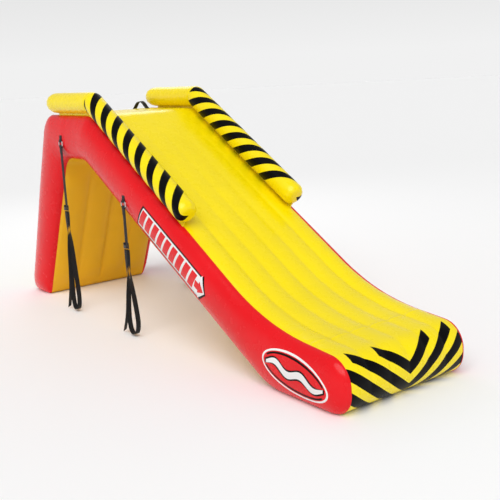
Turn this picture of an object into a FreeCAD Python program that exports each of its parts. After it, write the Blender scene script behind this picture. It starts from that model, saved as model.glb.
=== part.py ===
"""An inflatable pool slide: a climbing wall, a platform and a sliding bed in one welded chamber,
with two side rails, grab handles and four tie-down straps.

X runs from the foot of the climbing wall to the toe of the slide, Y to a rider's left on the way
down, and Z up. The origin is on the ground, under the middle of the slide. Lengths are in
millimetres. Outlines are drawn from the foot of the wall, and each piece's Placement moves it
to the middle.
"""
import FreeCAD, Part
import math
import os

from FreeCAD import Placement, Rotation, Vector

SIZES = {
    # The welded chamber.
    "seam_half_width": 440,
    "skin": 3,
    "side_bulge": 75,
    "side_round": 42,
    "wall_angle": 68.2,
    "platform_height": 1500,
    "bend_x": 1330,
    "slide_angle": 31,
    "runout_x": 3230,
    "toe_x": 3905,
    "toe_height": 300,
    "slab_heel_x": 3265,
    "arch_front_x": 1214,
    "arch_rear_x": 872,
    "arch_height": 1180,
    "foot_depth": 318,
    "foot_round": 60,
    "seam_from_corner": 115,
    "toe_seam": 150,
    "middle": 0,
    # The baffles inside it.
    "weld_gap": 1,
    "slide_baffle_pitch": 147,
    "wall_baffle_pitch": 220,
    "baffle_hole": 45,
    # The foot pockets in the climbing wall.
    "pocket_width": 145,
    "pocket_height": 85,
    "pocket_depth": 92,
    "pocket_flange": 12,
    # The rails.
    "rail_radius": 75,
    "rail_half_gauge": 438,
    "rail_rear_x": 710,
    "rail_taper": 90,
    "rail_end_radius": 44,
    "rail_lift": 15,
    "rail_slope_lift": 23,
    "rail_slope_length": 1330,
    "flange_width": 6,
    "flange_gap": 0.5,
    "rear_cap_radius": 43,
    "front_cap_radius": 73,
    # The grab handles.
    "handle_y": 310,
    "handle_width": 38,
    "patch": 3,
    "handle_patch_width": 70,
    "handle_lean": 30,
    # The strap anchors. Heights and distances are those of each ring's upper bar.
    "anchor_lift": 9,
    "rear_anchor_x": 960,
    "rear_anchor_height": 1312,
    "rear_strap_length": 480,
    "front_anchor_x": 1850,
    "front_anchor_height": 940,
    "front_strap_length": 280,
    "anchor_patch_radius": 52,
    "anchor_patch": 2,
    "ring_wire": 4,
    "ring_half_width": 27,
    "ring_height": 32,
    "ring_corner": 8,
    "running_gap": 0.3,
    "webbing_width": 38,
    "webbing": 2.5,
    # The cam buckles.
    "buckle_width": 47,
    "buckle_height": 42,
    "buckle_plate": 2.5,
    "cheek": 2.5,
    "cheek_depth": 16,
    "pin_radius": 2,
    "pin_drop": 19,
    "pin_out": 8.5,
    "cam_radius": 6,
    "cam_width": 40,
    # The air valve in the ceiling of the arch.
    "valve_x": 1050,
    "valve_hole": 24,
    "valve_tube": 23.7,
    "valve_bore": 20,
    "valve_flange": 40,
    "valve_depth": 26,
    "valve_cap_radius": 30,
    "valve_hinge_x": 52,
}

# Each foot pocket: its distance from the middle of the wall, and the height of its floor up the wall.
POCKETS = {
    "foot_pocket_top": (-168, 1224),
    "foot_pocket_upper": (22, 920),
    "foot_pocket_lower": (-237, 630),
    "foot_pocket_bottom": (-10, 334),
}

# The routes of the webbing below each buckle, from the buckle down. The first number is to the right
# of the strap as seen from outside, and the second is the height above the ground.
LOOP_REAR = [
    (7, 785), (11, 650), (24, 440), (60, 235), (76, 105), (50, 18),
    (-14, 18), (-34, 110), (-27, 275), (-9, 470), (-2, 650), (-4, 785),
]
TAIL_REAR = [(-10, 785), (-15, 640), (-28, 450), (-48, 270), (-74, 130), (-118, 12)]
LOOP_FRONT = [
    (7, 612), (10, 510), (22, 360), (62, 205), (82, 100), (52, 18),
    (-22, 18), (-46, 105), (-36, 230), (-12, 380), (-2, 500), (-4, 612),
]
TAIL_FRONT = [(-10, 612), (-15, 500), (-28, 350), (-52, 210), (-82, 100), (-124, 12)]
TURN_SHARE = 0.45

doc = FreeCAD.newDocument("pool_slide")
sheet = doc.addObject("Spreadsheet::Sheet", "Sizes")
for row, (alias, value) in enumerate(SIZES.items(), start=1):
    sheet.set(f"A{row}", alias)
    sheet.set(f"B{row}", str(value))
    sheet.setAlias(f"B{row}", alias)
doc.recompute()


def size(alias):
    return float(sheet.get(alias))


def set_size(alias, value):
    """Gives a cell a value worked out from the others."""
    sheet.set(sheet.getCellFromAlias(alias), str(value))
    doc.recompute()


# ---------------------------------------------------------------- outlines
# A corner is (across, up, radius). An outline is a list of corners, travelled clockwise round the
# slide as seen from its right side, so its inside is to the right of the travel.

def heading(start, end):
    return Vector(end[0] - start[0], end[1] - start[1], 0).normalize()


def inset(corners, distance, closed=True):
    """The outline moved to the right of its travel, with its rounded corners kept concentric."""
    moved = []
    count = len(corners)
    for i, (across, up, radius) in enumerate(corners):
        first = not closed and i == 0
        last = not closed and i == count - 1
        after = heading(corners[i], corners[(i + 1) % count]) if not last else None
        before = heading(corners[i - 1], corners[i]) if not first else after
        after = after or before
        sides = [Vector(way.y, -way.x, 0) for way in (before, after)]
        shift = (sides[0] + sides[1]) * (distance / (1 + sides[0].dot(sides[1])))
        turn = before.cross(after).z
        if radius:
            radius -= distance * math.copysign(1, -turn)
        moved.append((across + shift.x, up + shift.y, radius))
    return moved


def strip(corners, thickness):
    """The closed outline of a sheet that follows an open one, on the right of its travel."""
    return corners + inset(corners, thickness, closed=False)[::-1]


def edges_of(corners, closed=True):
    """The lines and arcs of an outline."""
    count = len(corners)
    joints = []
    for i, (across, up, radius) in enumerate(corners):
        here = Vector(across, up, 0)
        if not radius or (not closed and i in (0, count - 1)):
            joints.append((here, None, here))
            continue
        back = -heading(corners[i - 1], corners[i])
        ahead = heading(corners[i], corners[(i + 1) % count])
        half = back.getAngle(ahead) / 2
        centre = here + (back + ahead).normalize() * (radius / math.sin(half))
        crown = centre + (here - centre).normalize() * radius
        reach = radius / math.tan(half)
        joints.append((here + back * reach, crown, here + ahead * reach))
    edges = []
    for i, (begin, crown, end) in enumerate(joints):
        if crown is not None:
            edges.append(Part.Arc(begin, crown, end))
        if closed or i < count - 1:
            following = joints[(i + 1) % count][0]
            if (following - end).Length > 1e-6:
                edges.append(Part.LineSegment(end, following))
    return edges


def along(start, end, distance):
    way = heading(start, end)
    return (start[0] + way.x * distance, start[1] + way.y * distance, 0)


def rectangle(left, low, right, high):
    return edges_of([(left, low, 0), (left, high, 0), (right, high, 0), (right, low, 0)])


def circle(across, up, radius):
    return [Part.Circle(Vector(across, up, 0), Vector(0, 0, 1), radius)]


# ---------------------------------------------------------------- document objects

def body_at(label, placement=None):
    body = doc.addObject("PartDesign::Body", label)
    body.Label = label
    body.Placement = placement or shifted()
    return body


def shifted(x=0, y=0, z=0, rotation=None):
    """A Placement from the foot of the wall to the slide's own frame."""
    return Placement(Vector(x - size("middle"), y, z), rotation or Rotation())


def sketch_in(body, role, edges, offset=0):
    sketch = body.newObject("Sketcher::SketchObject", body.Name + "_sketch")
    plane = next(f for f in body.Origin.OriginFeatures if f.Role == role)
    sketch.AttachmentSupport = [(plane, "")]
    sketch.MapMode = "FlatFace"
    sketch.AttachmentOffset = Placement(Vector(0, 0, offset), Rotation())
    sketch.addGeometry(edges, False)
    return sketch


def pad(body, role, edges, length, offset=0, middle=False, reverse=False):
    """A pad whose length is a number or an expression over the sheet's cells."""
    feature = body.newObject("PartDesign::Pad", body.Name + "_pad")
    feature.Profile = sketch_in(body, role, edges, offset)
    feature.Midplane = middle
    feature.Reversed = reverse
    give(feature, "Length", length)
    return feature


def pocket(body, role, edges, length, offset=0, middle=False, reverse=False):
    feature = body.newObject("PartDesign::Pocket", body.Name + "_pocket")
    feature.Profile = sketch_in(body, role, edges, offset)
    feature.Midplane = middle
    feature.Reversed = reverse
    give(feature, "Length", length)
    return feature


def give(feature, name, value):
    if isinstance(value, str):
        feature.setExpression(name, value)
    else:
        setattr(feature, name, value)


def fillet(body, base, chosen, radius):
    """Rounds the edges of a feature that pass the test."""
    doc.recompute()
    names = [f"Edge{i}" for i, edge in enumerate(base.Shape.Edges, start=1) if chosen(edge)]
    feature = body.newObject("PartDesign::Fillet", body.Name + "_fillet")
    feature.Base = (base, names)
    feature.setExpression("Radius", radius)
    return feature


def group(label, members):
    """One node of separate solids."""
    compound = doc.addObject("Part::Compound", label)
    compound.Links = members
    compound.Label = label
    nodes.append(compound)


def node(label, placement=None):
    body = body_at(label, placement)
    nodes.append(body)
    return body


nodes = []

# ---------------------------------------------------------------- the chamber's outline
wall_slope = math.radians(size("wall_angle"))
wall_way = Vector(math.cos(wall_slope), math.sin(wall_slope), 0)
wall_out = Vector(-math.sin(wall_slope), math.cos(wall_slope), 0)
top = size("platform_height")
bend_x = size("bend_x")
fall = math.tan(math.radians(size("slide_angle")))


def deck_height(x):
    """The height of the straight slope of the bed."""
    return top - fall * (x - bend_x)


foot_rear = (0, 0, size("foot_round"))
wall_top = (top / math.tan(wall_slope), top, 150)
deck_bend = (bend_x, top, 200)
runout = (size("runout_x"), deck_height(size("runout_x")), 1500)
toe_top = (size("toe_x"), size("toe_height"), 150)
toe_base = (size("toe_x"), 0, 130)
slab_heel = (size("slab_heel_x"), 0, 400)
arch_front = (size("arch_front_x"), size("arch_height"), 250)
arch_rear = (size("arch_rear_x"), size("arch_height"), 150)
foot_front = (size("foot_depth"), 0, size("foot_round"))

chamber = [
    foot_rear,
    wall_top,
    deck_bend,
    runout,
    toe_top,
    toe_base,
    slab_heel,
    arch_front,
    arch_rear,
    foot_front,
]

outline_box = Part.Wire([edge.toShape() for edge in edges_of(chamber)]).BoundBox
set_size("middle", round((outline_box.XMin + outline_box.XMax) / 2, 2))

# The places where one panel is welded to the next.
from_corner = size("seam_from_corner")
wall_length = math.hypot(wall_top[0], wall_top[1])
seam_wall_foot = along(foot_rear, wall_top, from_corner)
seam_wall_top = along(wall_top, foot_rear, from_corner)
seam_deck_nose = along(toe_top, runout, 2 * size("toe_seam"))
seam_nose_base = along(toe_base, slab_heel, size("toe_seam"))
seam_base_heel = along(slab_heel, toe_base, size("toe_seam"))
seam_leg_foot = along(foot_front, arch_rear, from_corner)

PANELS = {
    "deck_panel": [seam_wall_top, wall_top, deck_bend, runout, seam_deck_nose],
    "nose_panel": [seam_deck_nose, toe_top, toe_base, seam_nose_base],
    "toe_base_panel": [seam_nose_base, seam_base_heel],
    "underside_panel": [seam_base_heel, slab_heel, arch_front, arch_rear, seam_leg_foot],
    "foot_base_panel": [seam_leg_foot, foot_front, foot_rear, seam_wall_foot],
}


def panels():
    """The sheets between the two side panels."""
    for label, corners in PANELS.items():
        body = node(label)
        outline = edges_of(strip(corners, size("skin")))
        pad(body, "XZ_Plane", outline, "2 * Sizes.seam_half_width", middle=True)
        if label == "underside_panel":
            hole = circle(size("valve_x"), 0, size("valve_hole"))
            pocket(body, "XY_Plane", hole, "4 * Sizes.skin", offset=size("arch_height") - 2, reverse=True)


# ---------------------------------------------------------------- the climbing wall
# The wall's own frame: across is towards a climber's right, up runs up the wall, and out is away
# from the slide.
wall_frame = shifted(rotation=Rotation(Vector(0, -1, 0), Vector(wall_way.x, 0, wall_way.y),
                                       Vector(wall_out.x, 0, wall_out.y), "ZXY"))


def half_moon(across, up, grow=0):
    """A foot pocket's outline: a flat floor under an arch, grown outwards all round."""
    half = size("pocket_width") / 2
    height = size("pocket_height")
    centre_up = (height**2 - half**2) / (2 * height)
    radius = height - centre_up + grow
    reach = math.sqrt(radius**2 - (centre_up + grow) ** 2)
    left = Vector(across - reach, up - grow, 0)
    right = Vector(across + reach, up - grow, 0)
    crown = Vector(across, up + centre_up + radius, 0)
    return [Part.LineSegment(left, right), Part.Arc(right, crown, left)]


def climbing_panel():
    half = size("seam_half_width")
    body = node("climbing_panel", wall_frame)
    outline = rectangle(-half, from_corner, half, wall_length - from_corner)
    for y, up in POCKETS.values():
        outline += half_moon(-y, up)
    pad(body, "XY_Plane", outline, "Sizes.skin", reverse=True)


def foot_pockets():
    """Blind cups welded behind the wall, each with a flange round its mouth."""
    skin = size("skin")
    for label, (y, up) in POCKETS.items():
        body = node(label, wall_frame)
        flange = half_moon(-y, up, size("pocket_flange"))
        pad(body, "XY_Plane", flange, "Sizes.skin", offset=-skin, reverse=True)
        cup = half_moon(-y, up, skin)
        pad(body, "XY_Plane", cup, "Sizes.pocket_depth", offset=-2 * skin, reverse=True)
        hollow = half_moon(-y, up)
        pocket(body, "XY_Plane", hollow, "Sizes.pocket_depth", offset=-skin)


# ---------------------------------------------------------------- side panels and baffles

def lies_at(edge, y):
    box = edge.BoundBox
    return abs(box.YMin - y) < 1e-4 and abs(box.YMax - y) < 1e-4


def cushion(label, placement, outline, less, outward):
    """The outline padded outwards from a seam, with its outer edge rounded."""
    body = body_at(label, placement)
    block = pad(body, "XZ_Plane", edges_of(outline), "Sizes.side_bulge" + less, reverse=outward)
    doc.recompute()
    box = block.Shape.BoundBox
    outer = box.YMax if outward else box.YMin
    fillet(body, block, lambda edge: lies_at(edge, outer), "Sizes.side_round" + less)
    return body


def side_panels():
    """Bulged shells, open towards the chamber, with one skin's thickness all over."""
    for side_name, side in (("left", 1), ("right", -1)):
        seam = shifted(y=side * size("seam_half_width"))
        shell = doc.addObject("Part::Cut", f"side_panel_{side_name}")
        shell.Label = f"side_panel_{side_name}"
        shell.Base = cushion(f"side_{side_name}_outside", seam, chamber, "", side > 0)
        lining = inset(chamber, size("skin"))
        shell.Tool = cushion(f"side_{side_name}_inside", seam, lining, " - Sizes.skin", side > 0)
        nodes.append(shell)


def baffle_outline(corners):
    return edges_of(inset(corners, size("skin") + size("weld_gap")))


def slide_baffles():
    """Five upright sheets along the bed, which hold its top and bottom parallel."""
    reach = along(runout, toe_top, 380)
    heel = (reach[0] - 10, 0, 0)
    front = (deck_bend[0] + 70, deck_height(deck_bend[0] + 70), 0)
    low_slope = arch_front[1] / (slab_heel[0] - arch_front[0])
    back = (arch_front[0] + 120, arch_front[1] - 120 * low_slope, 0)
    sheet_corners = [front, runout, reach, heel, slab_heel, back]
    members = []
    for i in range(-2, 3):
        body = body_at(f"slide_baffle_{i + 3}", shifted(y=i * size("slide_baffle_pitch")))
        edges = baffle_outline(sheet_corners)
        for step in (0.25, 0.5, 0.75):
            x = front[0] + step * (runout[0] - front[0])
            edges += circle(x - 60, deck_height(x) - 130, size("baffle_hole"))
        pad(body, "XZ_Plane", edges, "Sizes.skin / 2", middle=True)
        members.append(body)
    group("slide_baffles", members)


def wall_baffles():
    """Three upright sheets in the leg, cut away round the foot pockets."""
    low = along(foot_rear, wall_top, 140)
    high = along(wall_top, foot_rear, 150)
    inner_high = along(arch_rear, foot_front, 130)
    inner_low = along(foot_front, arch_rear, 120)
    clearances = []
    room = size("pocket_flange") + size("skin")
    for label, (y, up) in POCKETS.items():
        box = doc.addObject("Part::Box", label + "_clearance")
        box.Length = size("pocket_width") + 2 * room
        box.Width = size("pocket_height") + 2 * room
        box.Height = size("pocket_depth") + 4 * size("skin")
        corner = Vector(-y - box.Length.Value / 2, up - room, -box.Height.Value)
        box.Placement = wall_frame.multiply(Placement(corner, Rotation()))
        clearances.append(box)
    tools = doc.addObject("Part::Compound", "pocket_clearances")
    tools.Links = clearances
    members = []
    for i in (-1, 0, 1):
        body = body_at(f"wall_baffle_{i + 2}", shifted(y=i * size("wall_baffle_pitch")))
        sheet_edges = baffle_outline([low, high, inner_high, inner_low])
        pad(body, "XZ_Plane", sheet_edges, "Sizes.skin / 2", middle=True)
        cut = doc.addObject("Part::Cut", f"wall_baffle_{i + 2}_cut")
        cut.Base = body
        cut.Tool = tools
        members.append(cut)
    group("wall_baffles", members)


# ---------------------------------------------------------------- rails

rail_radius = size("rail_radius")
rail_height = top + size("rail_lift") + rail_radius
slide_slope = math.radians(size("slide_angle"))
slope_lift = size("rail_slope_lift") + rail_radius
# Where the rail's level part meets the part that runs parallel to the bed.
rail_bend_x = bend_x + (slope_lift / math.cos(slide_slope) - (rail_height - top)) / fall
rail_end_x = rail_bend_x + size("rail_slope_length") * math.cos(slide_slope)
rail_end_height = rail_height - size("rail_slope_length") * math.sin(slide_slope)
rail_start_x = size("rail_rear_x") + size("rail_taper")
rail_line = [
    (rail_start_x, rail_height, 0),
    (rail_bend_x, rail_height, 0),
    (rail_end_x, rail_end_height, 0),
]


def rails():
    """Tubes with a mitred bend, narrowed to a disc at the rear and carried on an upright seam."""
    for side_name, side in (("left", 1), ("right", -1)):
        y = side * size("rail_half_gauge")
        tube = node(f"rail_{side_name}", shifted(y=y))
        rail_rear_end(tube)
        profile = sketch_in(
            tube,
            "YZ_Plane",
            circle(0, rail_height, rail_radius) + circle(0, rail_height, rail_radius - size("skin")),
            rail_start_x,
        )
        spine = sketch_in(tube, "XZ_Plane", edges_of(rail_line, closed=False))
        pipe = tube.newObject("PartDesign::AdditivePipe", tube.Name + "_pipe")
        pipe.Profile = profile
        pipe.Spine = (spine, ["Edge1", "Edge2"])
        pipe.Transition = "Right corner"

        cap = node(f"rail_rear_cap_{side_name}", shifted(size("rail_rear_x"), y, rail_height))
        pad(cap, "YZ_Plane", circle(0, 0, size("rear_cap_radius")), "Sizes.skin", reverse=True)
        tilt = Rotation(Vector(0, 1, 0), size("slide_angle"))
        cap = node(f"rail_front_cap_{side_name}", shifted(rail_end_x, y, rail_end_height, tilt))
        pad(cap, "YZ_Plane", circle(0, 0, size("front_cap_radius")), "Sizes.skin")

        seam = node(f"rail_seam_{side_name}", shifted(y=y))
        pad(seam, "XZ_Plane", edges_of(rail_seam_outline()), "Sizes.flange_width", middle=True)


def rail_rear_end(tube):
    """The tube's rounded closing, turned about its own axis, with a short lip for the disc."""
    rear = size("rail_rear_x")
    neck = rail_height + size("rail_end_radius")
    full = rail_height + rail_radius
    path = [(rear, neck, 0), (rear + 4, neck, 0), (rear + 26, full, 60), (rail_start_x, full, 0)]
    sketch = sketch_in(tube, "XZ_Plane", edges_of(strip(path, size("skin"))))
    axis = Part.LineSegment(Vector(rear, rail_height, 0), Vector(rail_start_x, rail_height, 0))
    sketch.addGeometry(axis, True)
    feature = tube.newObject("PartDesign::Revolution", tube.Name + "_turn")
    feature.Profile = sketch
    feature.ReferenceAxis = (sketch, ["Axis0"])
    feature.Angle = 360


def rail_seam_outline():
    """The upright strip between the bed and the rail's lowest line."""
    gap = size("flange_gap")
    start_x = rail_line[0][0] + 5
    last_x = rail_end_x - 60
    deck = [(start_x, top, 0), deck_bend, (last_x, deck_height(last_x), 0)]
    low = inset(deck, -gap, closed=False)
    under_rail = inset(rail_line, rail_radius + gap, closed=False)
    last_rise = size("rail_slope_lift") - 2 * gap
    end_x = low[2][0] + last_rise * math.sin(slide_slope)
    end_height = low[2][1] + last_rise * math.cos(slide_slope)
    return [*low, (end_x, end_height, 0), under_rail[1], (start_x, under_rail[0][1], 0)]


# ---------------------------------------------------------------- grab handles

def handles():
    """Webbing that arches over the platform's rear edge, on a patch that follows the corner."""
    patch = size("patch")
    outer = patch + size("webbing")
    lean = math.radians(size("handle_lean"))
    radius = wall_top[2] + outer
    tangent = wall_top[2] * math.tan(wall_slope / 2)
    centre = Vector(wall_top[0] + tangent, top - wall_top[2], 0)
    touch = centre + Vector(-math.sin(lean), math.cos(lean), 0) * radius
    flat = Vector(math.cos(lean), math.sin(lean), 0) * 16
    rear_end, rear_knee = touch - flat, touch + flat
    path = [
        (rear_end.x, rear_end.y, 0),
        (rear_knee.x, rear_knee.y, 25),
        (745, 1590, 90),
        (845, top + outer, 25),
        (885, top + outer, 0),
    ]
    for side_name, side in (("left", 1), ("right", -1)):
        body = node(f"grab_handle_{side_name}", shifted(y=side * size("handle_y")))
        pad(body, "XZ_Plane", edges_of(strip(path, size("webbing"))), "Sizes.handle_width", middle=True)
    saddle = [along(wall_top, foot_rear, 130), wall_top, along(wall_top, deck_bend, 300)]
    outside = inset(saddle, -patch, closed=False)
    members = []
    for side_name, side in (("left", 1), ("right", -1)):
        body = body_at(f"handle_patch_{side_name}", shifted(y=side * size("handle_y")))
        pad(body, "XZ_Plane", edges_of(strip(outside, patch)), "Sizes.handle_patch_width", middle=True)
        members.append(body)
    group("handle_patches", members)


# ---------------------------------------------------------------- strap anchors
# An anchor's frame: across is to the right as seen from outside, minus Y is outwards, and the
# origin is the middle of the ring's upper bar.

ANCHORS = {
    "rear_right": ("rear", -1),
    "rear_left": ("rear", 1),
    "front_right": ("front", -1),
    "front_left": ("front", 1),
}
ROUTES = {"rear": (LOOP_REAR, TAIL_REAR), "front": (LOOP_FRONT, TAIL_FRONT)}


def anchor_frame(end, side):
    x = size(f"{end}_anchor_x")
    y = side * (size("seam_half_width") + size("side_bulge") + size("anchor_lift"))
    turned = Rotation(Vector(0, 0, 1), 180 if side > 0 else 0)
    return shifted(x, y, size(f"{end}_anchor_height"), turned)


def wrap(body, height, outer, inner, low, high, near, far):
    """Webbing folded round a bar that runs across, with a flat run from low to high."""
    pad(body, "YZ_Plane", circle(0, height, outer), "Sizes.webbing_width", middle=True)
    pad(body, "YZ_Plane", rectangle(near, low, far, high), "Sizes.webbing_width", middle=True)
    pocket(body, "YZ_Plane", circle(0, height, inner), "2 * Sizes.webbing_width", middle=True)


def rounded_route(points):
    """Corners for a route, each arc as large as its two runs allow, and prints the radii."""
    corners = [(points[0][0], points[0][1], 0)]
    for before, here, after in zip(points, points[1:], points[2:]):
        run_in = math.dist(before, here)
        run_out = math.dist(here, after)
        turn = heading(before, here).getAngle(heading(here, after))
        radius = TURN_SHARE * min(run_in, run_out) / math.tan(turn / 2)
        corners.append((here[0], here[1], radius))
    corners.append((points[-1][0], points[-1][1], 0))
    return corners


def webbing_run(label, points, frame_height, placement):
    """A flat strap along a route, its width across the anchor's outward direction."""
    corners = rounded_route([(x, height - frame_height) for x, height in points])
    print(label, "radii", [round(corner[2]) for corner in corners[1:-1]])
    half = size("webbing") / 2
    body = node(label, placement)
    outline = strip(inset(corners, -half, closed=False), 2 * half)
    feature = pad(body, "XZ_Plane", edges_of(outline), "Sizes.webbing_width", middle=True)
    doc.recompute()
    length = Part.Wire([edge.toShape() for edge in edges_of(corners, closed=False)]).Length
    expected = length * 2 * half * size("webbing_width")
    print(label, "length", round(length), "volume share", round(feature.Shape.Volume / expected, 4))


def anchors():
    wire = size("ring_wire")
    bore = wire + size("running_gap")
    lift = size("anchor_lift")
    patch = size("anchor_patch")
    patches = []
    tabs = []
    for name, (end, side) in ANCHORS.items():
        frame = anchor_frame(end, side)
        length = size(f"{end}_strap_length")

        body = body_at(f"anchor_patch_{name}", frame)
        pad(body, "XZ_Plane", circle(0, 12, size("anchor_patch_radius")), "Sizes.anchor_patch", offset=-lift)
        patches.append(body)

        body = body_at(f"ring_tab_{name}", frame)
        face = lift - patch
        wrap(body, 0, face, bore, 0, 46, face - size("webbing"), face)
        tabs.append(body)

        body = node(f"ring_{name}", frame)
        half = size("ring_half_width")
        corner = size("ring_corner")
        low = -size("ring_height")
        ring = [(-half, 0, corner), (half, 0, corner), (half, low, corner), (-half, low, corner)]
        spine = sketch_in(body, "XZ_Plane", edges_of(ring))
        profile = sketch_in(body, "YZ_Plane", circle(0, 0, wire))
        pipe = body.newObject("PartDesign::AdditivePipe", body.Name + "_pipe")
        pipe.Profile = profile
        pipe.Spine = spine

        body = node(f"strap_{name}", frame)
        half_web = size("webbing") / 2
        wrap(body, low, bore + size("webbing"), bore, -length, low - bore, -half_web, half_web)

        buckle(name, frame, -length)
        loop, tail = ROUTES[end]
        ring_height = size(f"{end}_anchor_height")
        webbing_run(f"strap_loop_{name}", loop, ring_height, frame)
        webbing_run(f"strap_tail_{name}", tail, ring_height, frame)
    group("anchor_patches", patches)
    group("ring_tabs", tabs)


def buckle(name, frame, high):
    """A cam buckle: a channel with a bar at its top, a pin, and a lever whose cam grips the webbing."""
    half = size("buckle_width") / 2
    low = high - size("buckle_height")
    near = size("webbing") / 2 + 0.25
    back = near + size("buckle_plate")
    front = back - size("cheek_depth")
    pin_height = high - size("pin_drop")
    pin_y = -size("pin_out")

    body = node(f"buckle_{name}", frame)
    pad(body, "XZ_Plane", rectangle(-half, low, half, high), "Sizes.buckle_plate", offset=-back)
    for x in (-half, half - size("cheek")):
        pad(body, "YZ_Plane", rectangle(front, low + 8, near, high), "Sizes.cheek", offset=x)
    pad(body, "YZ_Plane", rectangle(-near, high - 5, near, high), "Sizes.buckle_width", middle=True)
    bore = size("pin_radius") + size("running_gap") / 6
    pocket(body, "YZ_Plane", circle(pin_y, pin_height, bore), "2 * Sizes.buckle_width", middle=True)

    body = node(f"cam_pin_{name}", frame)
    pad(body, "YZ_Plane", circle(pin_y, pin_height, size("pin_radius")), "Sizes.buckle_width", middle=True)

    body = node(f"cam_{name}", frame)
    pad(body, "YZ_Plane", circle(pin_y, pin_height, size("cam_radius")), "Sizes.cam_width", middle=True)
    handle_out = pin_y - size("cam_radius")
    handle = rectangle(handle_out, pin_height - 19, handle_out + 4, pin_height)
    pad(body, "YZ_Plane", handle, "Sizes.cam_width", middle=True)
    pocket(body, "YZ_Plane", circle(pin_y, pin_height, bore), "2 * Sizes.cam_width", middle=True)


# ---------------------------------------------------------------- the air valve

def revolved(label, corners):
    """A ring or disc turned about the valve's axis. Corners are (radius, height, 0)."""
    body = node(label, shifted(size("valve_x"), 0, size("arch_height")))
    sketch = sketch_in(body, "XZ_Plane", edges_of(corners))
    feature = body.newObject("PartDesign::Revolution", body.Name + "_turn")
    feature.Profile = sketch
    feature.ReferenceAxis = (sketch, ["V_Axis"])
    feature.Angle = 360
    return body


def valve():
    """A screw valve with a one-way flap, in the ceiling of the arch where hands reach it."""
    skin = size("skin")
    tube = size("valve_tube")
    bore = size("valve_bore")
    flange = size("valve_flange")
    depth = size("valve_depth")
    cap = size("valve_cap_radius")
    hinge = size("valve_hinge_x")
    base = revolved("valve_base", [(bore, -skin, 0), (bore, depth, 0), (tube, depth, 0), (tube, 0, 0),
                                   (flange, 0, 0), (flange, -skin, 0)])
    pad(base, "XY_Plane", rectangle(bore + 8, -9, hinge + 6, 9), "Sizes.skin", reverse=True)
    insert = bore - 0.2
    seat = revolved("valve_insert", [(insert - 4, 3, 0), (insert - 4, depth - 5, 0), (insert, depth - 5, 0),
                                     (insert, 3, 0)])
    pad(seat, "XY_Plane", rectangle(-insert + 2, -1.5, insert - 2, 1.5), 5, offset=depth - 10)
    pad(seat, "XY_Plane", rectangle(-1.5, -insert + 2, 1.5, insert - 2), 5, offset=depth - 10)
    rim = bore - 3
    revolved("valve_flap", [(0, depth - 5, 0), (0, depth - 4, 0), (rim, depth - 4, 0), (rim, depth - 5, 0)])
    plug = bore - 0.6
    lid = revolved("valve_cap", [(0, -skin - 7, 0), (0, 2, 0), (plug, 2, 0), (plug, -skin - 0.3, 0),
                                 (cap, -skin - 0.3, 0), (cap, -skin - 7, 0)])
    tether = rectangle(cap - 4, -6, hinge, 6)
    pad(lid, "XY_Plane", tether, 1.6, offset=-skin - 0.3, reverse=True)
    pad(lid, "XZ_Plane", circle(hinge, -skin - 1.1, 0.8), 12, middle=True)


panels()
climbing_panel()
foot_pockets()
side_panels()
slide_baffles()
wall_baffles()
rails()
handles()
anchors()
valve()
doc.recompute()

faults = [o.Label for o in doc.Objects if "Invalid" in o.State or "Error" in o.State]
faults += [n.Label for n in nodes if n.Shape.isNull() or not n.Shape.isValid() or n.Shape.Volume <= 0]
if faults:
    raise SystemExit(f"these objects failed: {faults}")

os.makedirs("parts", exist_ok=True)
for piece in nodes:
    piece.Shape.exportStep(f"parts/{piece.Label}.step")
print(len(nodes), "nodes, middle at", size("middle"))
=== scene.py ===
"""The looks of an inflatable pool slide: glossy welded PVC that air pressure swells between its inner
baffles, printed stripes, webbing handles, and tie-down straps with cam buckles.

Every length is in metres, in the frame's own axes: X towards the toe, Y to a rider's left, Z up.
"""

import math

import bmesh
import bpy
import numpy as np
from mathutils import Matrix, Vector
from mathutils.bvhtree import BVHTree
from mathutils.geometry import delaunay_2d_cdt


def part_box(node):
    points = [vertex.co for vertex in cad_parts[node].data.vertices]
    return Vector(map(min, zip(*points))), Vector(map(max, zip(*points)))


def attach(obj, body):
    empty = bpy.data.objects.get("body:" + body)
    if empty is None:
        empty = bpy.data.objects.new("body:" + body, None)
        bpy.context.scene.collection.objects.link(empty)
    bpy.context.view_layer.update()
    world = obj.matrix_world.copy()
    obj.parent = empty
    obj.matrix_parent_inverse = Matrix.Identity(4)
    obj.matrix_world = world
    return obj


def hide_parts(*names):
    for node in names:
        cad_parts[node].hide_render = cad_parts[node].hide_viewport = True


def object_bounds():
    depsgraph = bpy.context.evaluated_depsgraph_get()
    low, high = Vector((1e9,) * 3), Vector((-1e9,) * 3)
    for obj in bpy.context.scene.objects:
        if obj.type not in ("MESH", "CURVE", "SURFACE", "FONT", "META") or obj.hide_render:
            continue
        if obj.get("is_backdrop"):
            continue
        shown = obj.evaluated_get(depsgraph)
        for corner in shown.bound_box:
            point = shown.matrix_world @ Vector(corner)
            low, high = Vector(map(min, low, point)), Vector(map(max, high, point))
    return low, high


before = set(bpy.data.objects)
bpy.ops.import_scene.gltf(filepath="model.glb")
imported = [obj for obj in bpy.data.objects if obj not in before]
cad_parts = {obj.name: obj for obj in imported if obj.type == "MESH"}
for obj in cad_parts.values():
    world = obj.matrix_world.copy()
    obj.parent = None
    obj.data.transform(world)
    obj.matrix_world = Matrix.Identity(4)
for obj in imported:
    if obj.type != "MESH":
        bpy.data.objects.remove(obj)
cad_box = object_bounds()

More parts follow.
